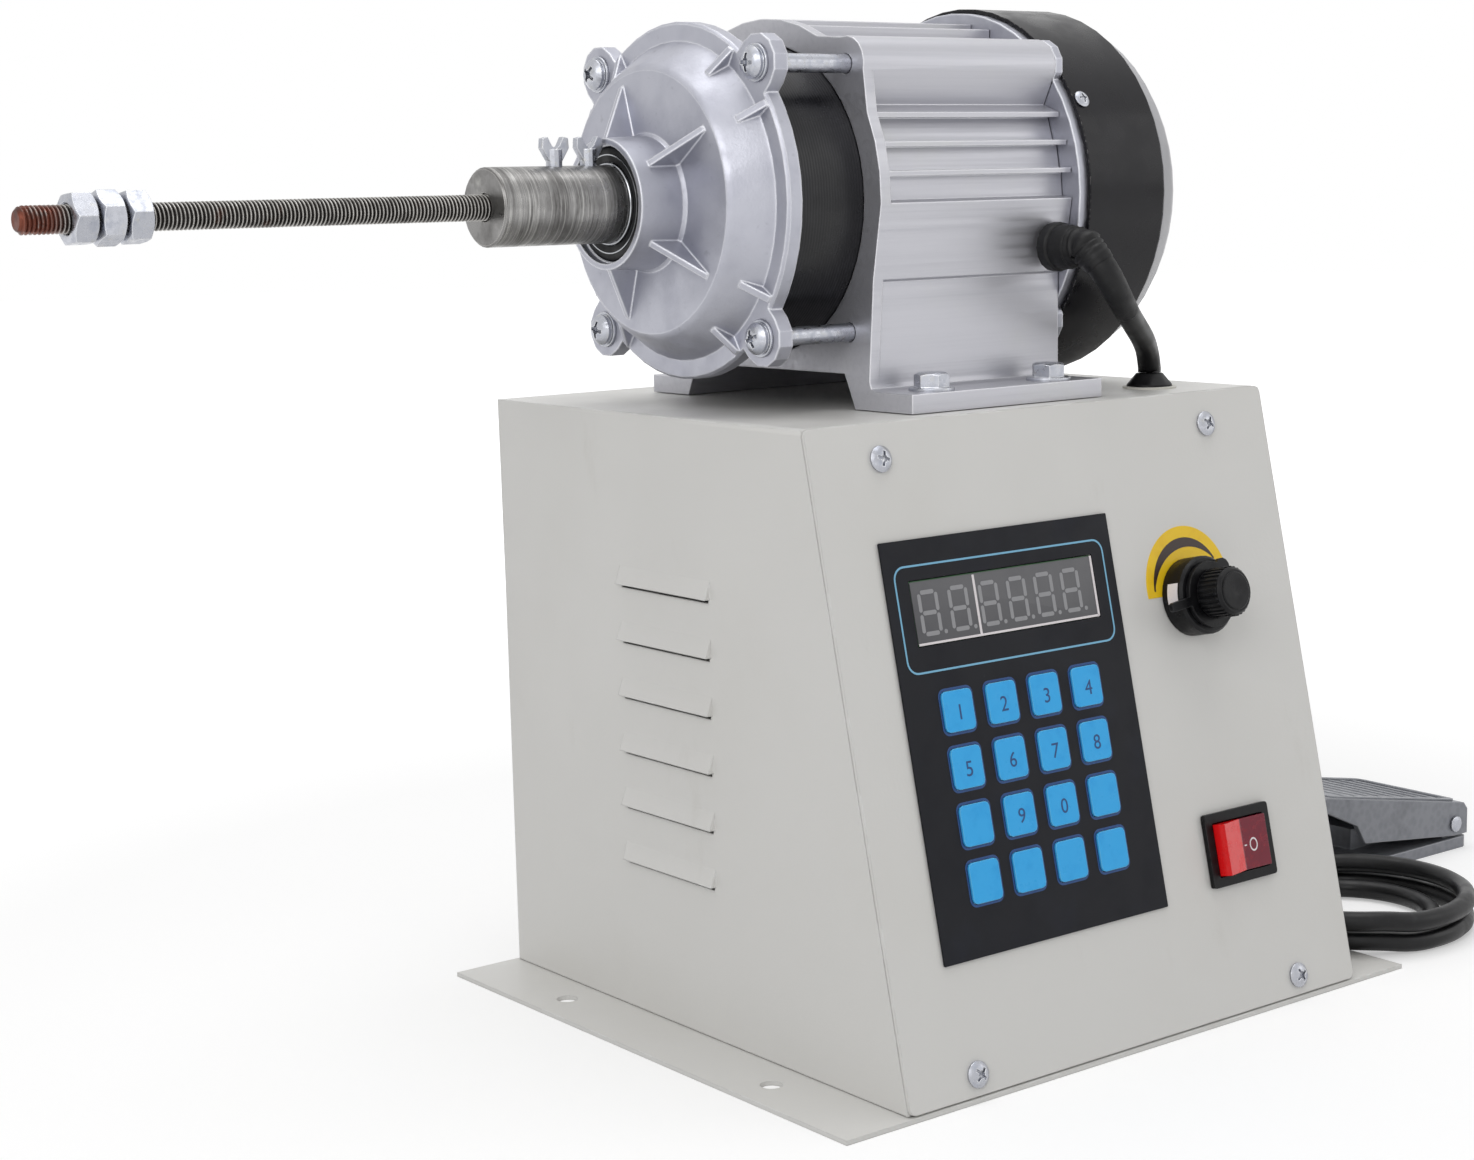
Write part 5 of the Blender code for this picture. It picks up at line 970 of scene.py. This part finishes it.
def hexagon(width, low, high):
    shape = bmesh.new()
    reach = width / 2 / math.cos(math.pi / 6)
    bmesh.ops.create_cone(
        shape, cap_ends=True, segments=6, radius1=reach, radius2=reach, depth=high - low,
        matrix=Matrix.Translation((0, 0, (low + high) / 2)),
    )
    return shape


def hex_head(width, height):
    """A bolt head whose six corners were turned off at the top."""
    envelope = [(0, height), (width * 0.45, height), (width * 0.6, height * 0.8), (width * 0.6, 0), (0, 0)]
    return cut_out(hexagon(width, -1, height + 1), turned(envelope, 48), "INTERSECT")


def hex_nut(width, bore, low, high):
    """A nut with turned corners on both faces and a countersunk bore."""
    reach, chamfer = width * 0.6, width * 0.085
    envelope = [
        (width * 0.46, low), (reach, low + chamfer), (reach, high - chamfer), (width * 0.46, high),
        (bore + 0.5, high), (bore, high - 0.5), (bore, low + 0.5), (bore + 0.5, low),
    ]
    return cut_out(hexagon(width, low - 1, high + 1), turned(envelope, 64, closed=True), "INTERSECT")


# %% [markdown]
# Three nuts run on the rod. Two are locked against each other and the third holds the coil former. A real
# nut is a hexagonal bar whose corners were turned off, which leaves curved edges on its flats, so it is made
# here in that very way: the common part of a hexagonal bar and a turned ring.

# %% Nuts on the rod
nut_places = (("outer", 281.8, 289, 0.1), ("middle", 273.8, 281, 0.42), ("inner", 265.8, 273, 0.2))
for name, low, high, turn in nut_places:
    nut = moved(hex_nut(13.4, 4.2, low, high), Matrix.Rotation(turn, 4, "Z"))
    piece = make_piece(f"rod_nut_{name}", nut, AXLE, zinc, node_body[f"nut_{name}"])
    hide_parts(f"nut_{name}")
print("three nuts")

# %% [markdown]
# Four long bolts hold the motor together. They run from ears on the front bell, over the open stator,
# into the housing. Each is one solid so far. The piece that stands for it has a round shank, a
# washer and a proper head. Its ends come from the solid's own box.

# %% Through bolts
for count, (out, rear) in enumerate(((1, -1), (1, 1), (-1, -1), (-1, 1)), start=1):
    low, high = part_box(f"through_bolt_{count}")
    inner_end, head_top = -high[0] / MM, -low[0] / MM
    shank = turned([(0, inner_end), (2.9, inner_end), (2.9, 84.9), (0, 84.9)], 32)
    washer = moved(plain_washer(5.9, 2.95, 0.8), Matrix.Translation((0, 0, 84.4)))
    head = moved(pan_head(5.0, head_top - 85.2), Matrix.Translation((0, 0, 85.2)) @ Matrix.Rotation(0.5 + count, 4, "Z"))
    bolt = moved(together(shank, washer, head), Matrix.Translation((41.5 * out, 41.5 * rear, 0)))
    piece = make_piece(f"motor_bolt_{count}", bolt, AXLE, zinc, "machine")
    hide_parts(f"through_bolt_{count}")
print("four through bolts")

# %% [markdown]
# The front panel is held by four pan head screws, and the motor's foot by four hexagon bolts on washers.
# Their heads sit on the sheet and on the foot. The fan cover is held by small screws of its own.

# %% Panel screws, foot bolts and cover screws
for count, place in enumerate(((-72.5, 194), (70.5, 194), (-72.5, 8.6), (72.5, 8.6)), start=1):
    turn = Matrix.Translation((*place, 0.02)) @ Matrix.Rotation(count * 1.3, 4, "Z")
    make_piece(f"panel_screw_{count}", moved(pan_head(4.1, 2.3), turn), PANEL, zinc, "machine")

for count, place in enumerate(((-33.25, -42.4), (17.75, -42.4), (-33.25, 77.5), (17.75, 77.5)), start=1):
    washer = moved(plain_washer(7.2, 3.2, 1.1), Matrix.Translation((*place, 206.3)))
    turn = Matrix.Translation((*place, 207.3)) @ Matrix.Rotation(count * 0.7, 4, "Z")
    bolt = together(washer, moved(hex_head(9.8, 4.6), turn))
    make_piece(f"foot_bolt_{count}", bolt, BENCH, zinc, "machine")

for count, angle in enumerate((-61, 61, 180), start=1):
    turn = Matrix.Rotation(math.radians(angle), 4, "X") @ Matrix.Translation((0, 0, 62.4))
    place = workplace((40.8, 20, 266), (1, 0, 0), (0, 1, 0), (0, 0, 1))
    make_piece(f"cover_screw_{count}", moved(pan_head(2.9, 1.6), turn), place, zinc, "machine")
print("four panel screws, four foot bolts, three cover screws")

# %% [markdown]
# Where the coupler enters the bell there is a sealed ball bearing: a black lip seal and, inside it, the
# bright ring that turns with the spindle. Both are spun from small profiles.

# %% Bearing seal and inner ring
seal_outline = [
    (12.9, 109.95), (17.4, 109.95), (17.4, 110.5), (16.6, 110.9), (14.4, 110.9), (13.9, 110.6), (12.9, 110.6),
]
seal = turned(seal_outline, 72, True)
make_piece("bearing_seal", seal, AXLE, rubber, "machine")
ring = turned([(12.2, 109.95), (12.75, 109.95), (12.75, 111.4), (12.55, 111.6), (12.2, 111.6)], 72, True)
make_piece("bearing_inner_ring", ring, AXLE, bearing_steel, "spindle")
lip = turned([(15.0, 110.85), (15.35, 110.85), (15.35, 111.15), (15.0, 111.15)], 72, True)
make_piece("bearing_seal_spring", lip, AXLE, bearing_steel, "machine")
print("seal and rings")

# %% [markdown]
# Printed lines and letters have almost no thickness, but they do have some. They are raised by a few
# hundredths of a millimetre, which also keeps them clear of the film beneath them.

# %% Inks
blue_ink = start_finish("light blue print", (122, 182, 214), 0.45)
tint(blue_ink, spread(blue_ink, cloudy(blue_ink, 0.002), 0.55, 0.8, 0, 0.4), (92, 150, 184))
navy_ink = start_finish("navy print", (18, 66, 122), 0.45)
tint(navy_ink, spread(navy_ink, cloudy(navy_ink, 0.001), 0.5, 0.8, 0, 0.5), (30, 92, 156))
white_ink = start_finish("white print", (232, 226, 228), 0.45)
tint(white_ink, spread(white_ink, cloudy(white_ink, 0.0008), 0.5, 0.8, 0, 0.4), (206, 196, 200))
digit_grey = start_finish("unlit display segment", (146, 146, 149), 0.4)
tint(digit_grey, spread(digit_grey, cloudy(digit_grey, 0.0012), 0.5, 0.8, 0, 0.4), (128, 128, 132))
display_face = start_finish("grey display face", (92, 92, 95), 0.3)
tint(display_face, spread(display_face, cloudy(display_face, 0.012), 0.45, 0.75, 0, 0.5), (80, 80, 84))
tint(display_face, spread(display_face, cloudy(display_face, 0.0009), 0.6, 0.8, 0, 0.2), (116, 116, 118))
grain(display_face, cloudy(display_face, 0.0008), 0.00003, 0.5)
constant(display_face, Specular_IOR_Level=0.35)
for ink in (blue_ink, navy_ink, white_ink, digit_grey):
    grain(ink, cloudy(ink, 0.0003), 0.00001, 0.5)
print("inks")

# %% [markdown]
# The display is a grey block behind the film's window, with six unlit numbers and a joint
# between its two modules. Each number is seven bars with pointed ends, and a bar is a
# slab whose upright edges are beveled by half its width.

# %% Display
WINDOW = (-31.0, 146.6)
make_piece(
    "display_block", rounded_slab(WINDOW, (76.5, 19.1), 0.36, 0.72, 0.3, 0.1), PANEL, display_face, "machine",
)


def bar(middle, length, width, upright):
    size = (width, length) if upright else (length, width)
    return rounded_slab(middle, size, 0.7, 0.78, width * 0.49)


def unlit_number(x, y, width=6.8, height=12.6, stroke=1.35):
    bars = []
    for level in (-0.5, 0.0, 0.5):
        bars.append(bar((x, y + level * height), width - stroke, stroke, False))
    for side in (-0.5, 0.5):
        for level in (-0.25, 0.25):
            bars.append(bar((x + side * width, y + level * height), height / 2 - stroke * 0.55, stroke, True))
    bars.append(bar((x + width * 0.5 + 1.9, y - height * 0.5), stroke, stroke, False))
    return together(*bars)


places = (-62.4, -50.2, -37.6, -25.8, -14.2, -2.6)
numbers = together(*[unlit_number(x - 0.6, WINDOW[1] - 0.2) for x in places])
make_piece("display_numbers", numbers, PANEL, digit_grey, "machine")
joint = rounded_slab((-43.6, WINDOW[1]), (0.9, 18.4), 0.7, 0.8, 0.2)
rims = [rounded_slab((7.1, WINDOW[1]), (0.8, 19.2), 0.7, 0.88), rounded_slab((-31, 137.2), (76.4, 0.7), 0.7, 0.88)]
make_piece("display_rims", together(joint, *rims), PANEL, white_ink, "machine")
frame_line = flat_outline((-31.1, 144.9), (88.4, 32.8), 4.2, 0.6, 0.92, 0.97)
make_piece("display_frame_line", frame_line, PANEL, blue_ink, "machine")
print("six numbers")

# %% [markdown]
# Each key has a navy border printed on the film around it, and ten keys carry their number. The letters
# are a text object that is measured, scaled to size and turned into a mesh.

# %% Keys
def lettering(text, height, low, high):
    """A number as a flat mesh in the middle of the workplace."""
    words = bpy.data.curves.new("lettering", "FONT")
    words.body = text
    words.resolution_u = 4
    holder = bpy.data.objects.new("lettering", words)
    bpy.context.scene.collection.objects.link(holder)
    bpy.context.view_layer.update()
    printed = holder.evaluated_get(bpy.context.evaluated_depsgraph_get())
    shape = bmesh.new()
    shape.from_mesh(printed.to_mesh())
    printed.to_mesh_clear()
    bpy.data.objects.remove(holder)
    bpy.data.curves.remove(words)
    bmesh.ops.remove_doubles(shape, verts=shape.verts, dist=0.0001)
    corners = [point.co for point in shape.verts]
    lows = [min(corner[axis] for corner in corners) for axis in (0, 1)]
    highs = [max(corner[axis] for corner in corners) for axis in (0, 1)]
    size = height / (highs[1] - lows[1])
    middle = Matrix.Translation((-(lows[0] + highs[0]) / 2, -(lows[1] + highs[1]) / 2, 0))
    moved(shape, Matrix.Diagonal((size, size, 1, 1)) @ middle)
    return thicken(shape, low, high)


key_numbers = {1: "1", 2: "2", 3: "3", 4: "4", 5: "5", 6: "6", 7: "7", 8: "8", 10: "9", 11: "0"}
borders = []
for count in range(1, 17):
    row, column = divmod(count - 1, 4)
    middle = (-31 + 18.2 * (column - 1.5), 90 - 17.3 * (row - 1.5))
    borders.append(flat_outline(middle, (13.9, 14.4), 2.5, 0.8, 0.92, 0.96))
    if count in key_numbers:
        number = lettering(key_numbers[count], 4.6, 1.62, 1.66)
        number = moved(number, Matrix.Translation((middle[0] + 0.4, middle[1] - 0.5, 0)))
        make_piece(f"key_number_{count:02d}", number, PANEL, navy_ink, f"press_key_{count:02d}")
make_piece("key_borders", together(*borders), PANEL, navy_ink, "machine")
print(f"{len(key_numbers)} numbered keys")

# %% [markdown]
# The speed dial stands on a yellow half disc that is glued to the panel. A brown crescent on it grows
# from thin to thick, to show which way is faster. The dial itself has a small white counter window in
# its side, and its knob has grip ridges.

# %% Speed dial
DIAL = (50.0, 138.0)
yellow_film = start_finish("yellow sticker", (246, 204, 20), 0.42)
tint(yellow_film, spread(yellow_film, cloudy(yellow_film, 0.006), 0.45, 0.75, 0, 0.6), (232, 182, 14))
grain(yellow_film, cloudy(yellow_film, 0.0008), 0.00003, 0.5)
brown_ink = start_finish("dark brown print", (40, 20, 10), 0.45)
tint(brown_ink, spread(brown_ink, cloudy(brown_ink, 0.002), 0.5, 0.8, 0, 0.5), (76, 46, 26))
grain(brown_ink, cloudy(brown_ink, 0.0005), 0.00001, 0.5)

sticker = bmesh.new()
bmesh.ops.create_circle(sticker, cap_ends=True, segments=96, radius=19.5, matrix=Matrix.Translation((50.5, 142, 0)))
bmesh.ops.bisect_plane(
    sticker, geom=sticker.verts[:] + sticker.edges[:] + sticker.faces[:], plane_co=(0, 139.5, 0), plane_no=(0, -1, 0),
    clear_outer=True,
)
make_piece("dial_sticker", thicken(sticker, 0.02, 0.14), PANEL, yellow_film, "machine")

crescent = bmesh.new()
ends = [crescent.verts.new((-radius, 0, 0)) for radius in (15.0, 16.2)]
start = crescent.edges.new(ends)
bmesh.ops.spin(
    crescent, geom=ends + [start], cent=(0, 0, 0), axis=(0, 0, -1), angle=math.radians(150), steps=50, use_merge=False,
)
for point in crescent.verts:
    turned_by = math.atan2(point.co.y, -point.co.x) / math.radians(150)
    if math.hypot(point.co.x, point.co.y) < 15.6:
        point.co *= (16.0 - 3.2 * math.sin(math.pi * min(max(turned_by, 0.03), 0.97)) ** 0.8) / 15.0
moved(crescent, Matrix.Translation((50.5, 141.5, 0)))
make_piece("dial_crescent", thicken(crescent, 0.15, 0.2), PANEL, brown_ink, "machine")

side = bmesh.new()
ends = [side.verts.new((-12.86, 0, height)) for height in (2.6, 7.0)]
start = side.edges.new(ends)
bmesh.ops.spin(side, geom=ends + [start], cent=(0, 0, 0), axis=(0, 0, 1), angle=math.radians(30), steps=10)
bmesh.ops.recalc_face_normals(side, faces=side.faces)
bmesh.ops.solidify(side, geom=side.faces[:], thickness=0.12)
moved(side, Matrix.Translation((*DIAL, 0)) @ Matrix.Rotation(math.radians(-24), 4, "Z"))
make_piece("dial_counter_window", side, PANEL, white_ink, "machine")

ridges = []
for count in range(30):
    angle = math.tau * count / 30
    ridge = moved(rounded_slab((7.85, 0), (0.7, 0.75), 11.4, 19.2, 0.2, 0.2), Matrix.Rotation(angle, 4, "Z"))
    ridges.append(moved(ridge, Matrix.Translation((*DIAL, 0))))
make_piece("knob_ridges", together(*ridges), PANEL, black_plastic, "dial")
cap = turned([(0, 20.2), (6.2, 20.2), (6.2, 20.5), (5.9, 20.7), (0.9, 20.75), (0, 20.6)], 48)
make_piece("knob_cap", moved(cap, Matrix.Translation((*DIAL, 0))), PANEL, black_plastic, "dial")
print("dial dressed")

# %% [markdown]
# The rocker switch carries the two usual marks, a ring for off and a bar for on. They ride on
# the button, and lie on the half of its face that is pressed down.

# %% Rocker marks
def settle(shape, place, solid):
    """Let every point of a flat print down onto the solid under it, at its own height above it."""
    outward = (place.to_3x3() @ Vector((0, 0, 1))).normalized()
    for point in shape.verts:
        height = point.co.z
        above = place @ Vector((point.co.x, point.co.y, 20))
        hit, spot, _, _ = solid.ray_cast(above, -outward)
        if hit:
            point.co = place.inverted() @ (spot + outward * height * MM)
    return shape


off_ring = turned([(1.5, 0.02), (2.0, 0.02), (2.0, 0.07), (1.5, 0.07)], 36, True)
off_ring = moved(off_ring, Matrix.Translation((58.7, 54.8, 0)))
bmesh.ops.transform(off_ring, matrix=Matrix.Translation((58.7, 54.8, 0)) @ Matrix.Diagonal((0.9, 1.12, 1, 1))
                    @ Matrix.Translation((-58.7, -54.8, 0)), verts=off_ring.verts)
on_bar = rounded_slab((55.0, 55.0), (1.1, 0.45), 0.02, 0.07, 0.1)
marks = settle(together(off_ring, on_bar), PANEL, frame["nodes"]["rocker_button"])
make_piece("rocker_marks", marks, PANEL, white_ink, "rocker")
print("rocker marks")

# %% [markdown]
# The motor cable leaves through a fitting whose tail is corrugated, then runs in a short tapered sleeve, so
# that it can't kink where it bends. Where it enters the cabinet, the grommet stands on a thin pale
# washer. The foot cord gets a tapered sleeve at both of its ends as well.

# %% Sleeves, ribs and washer
def sleeve(name, line, thick, thin, body, ribs=0):
    """A tapered tube along the first points of a cord, thicker at its start."""
    curve = bpy.data.curves.new(name, "CURVE")
    curve.dimensions = "3D"
    curve.bevel_depth = 1.0
    curve.bevel_resolution = 5
    curve.use_fill_caps = True
    spline = curve.splines.new("POLY")
    spline.points.add(len(line) - 1)
    spline.use_smooth = True
    for count, (point, place) in enumerate(zip(spline.points, line)):
        share = count / (len(line) - 1)
        wave = 0.12 * math.cos(math.tau * ribs * share) * (1 - share) if ribs else 0.0
        point.co = (*place, 1.0)
        point.radius = (thick + (thin - thick) * share ** 1.3) * (1 + wave) * MM
    holder = bpy.data.objects.new(name, curve)
    bpy.context.scene.collection.objects.link(holder)
    bpy.context.view_layer.update()
    shaped = holder.evaluated_get(bpy.context.evaluated_depsgraph_get())
    shape = bmesh.new()
    shape.from_mesh(shaped.to_mesh())
    shaped.to_mesh_clear()
    bpy.data.objects.remove(holder)
    bpy.data.curves.remove(curve)
    return make_sleeve(name, shape, body)


def make_sleeve(name, shape, body):
    bmesh.ops.remove_doubles(shape, verts=shape.verts, dist=0.00001)
    bmesh.ops.recalc_face_normals(shape, faces=shape.faces)
    mesh = bpy.data.meshes.new(name)
    shape.to_mesh(mesh)
    shape.free()
    for face in mesh.polygons:
        face.use_smooth = True
    mesh.materials.append(rubber)
    piece = bpy.data.objects.new(name, mesh)
    bpy.context.scene.collection.objects.link(piece)
    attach(piece, body)
    return piece


eased_lead = ease_bends(smooth_line(lead_route, 1.5 * MM)[0], 60)
motor_line, _ = smooth_line([place / MM for place in eased_lead], 0.5 * MM)
sleeve("motor_cable_sleeve", motor_line[:64], 5.0, 4.05, "machine")
sleeve("motor_cable_ribs", motor_line[:20], 5.9, 5.1, "machine", ribs=5)
foot_line, _ = smooth_line(route, 0.8 * MM)
sleeve("foot_cord_rear_sleeve", foot_line[:32], 5.2, 3.75, "machine", ribs=5)
sleeve("foot_cord_toe_sleeve", foot_line[::-1][:20], 5.0, 3.75, "machine", ribs=4)

ribs = []
for station in (2.4, 4.6, 6.8, 9.0):
    rib = turned([(5.3, 0), (6.5, 0.25), (6.7, 0.7), (6.5, 1.15), (5.3, 1.4)], 40, True)
    ribs.append(moved(rib, Matrix.Translation((0, 0, station))))
GLAND = workplace((25, -37.5, 249), (1, 0, 0), (0, 0, 1), (0, -1, 0))
make_piece("cable_gland_ribs", together(*ribs), GLAND, rubber, "machine")

pale_ring = start_finish("pale nylon washer", (206, 204, 196), 0.5)
tint(pale_ring, spread(pale_ring, cloudy(pale_ring, 0.002), 0.5, 0.8, 0, 0.5), (178, 174, 164))
grain(pale_ring, cloudy(pale_ring, 0.0008), 0.00004, 0.5)
washer = moved(plain_washer(9.0, 7.8, 0.7), Matrix.Translation((70.5, -37.5, 200.02)))
make_piece("grommet_washer", washer, BENCH, pale_ring, "machine")
print("sleeves, ribs and washer")

# %% [markdown]
# The tread of the foot switch has a raised rim around a shallow field with cross ribs, which keep a shoe from
# slipping. They are cast in one with it, so they share its hammer paint.

# %% Pedal tread
rim = flat_outline((0, 44.5), (50, 81), 4.5, 2.6, -0.05, 0.9)
bars = [rounded_slab((0, 13 + 8 * count), (41, 2.2), -0.05, 0.6, 0.9, 0.25) for count in range(8)]
make_piece("pedal_tread_rim", together(rim, *bars), TREAD, hammer_paint, "treadle")
print("tread with eight ribs")

# %% Colour view
bpy.context.scene.view_settings.view_transform = "Standard"
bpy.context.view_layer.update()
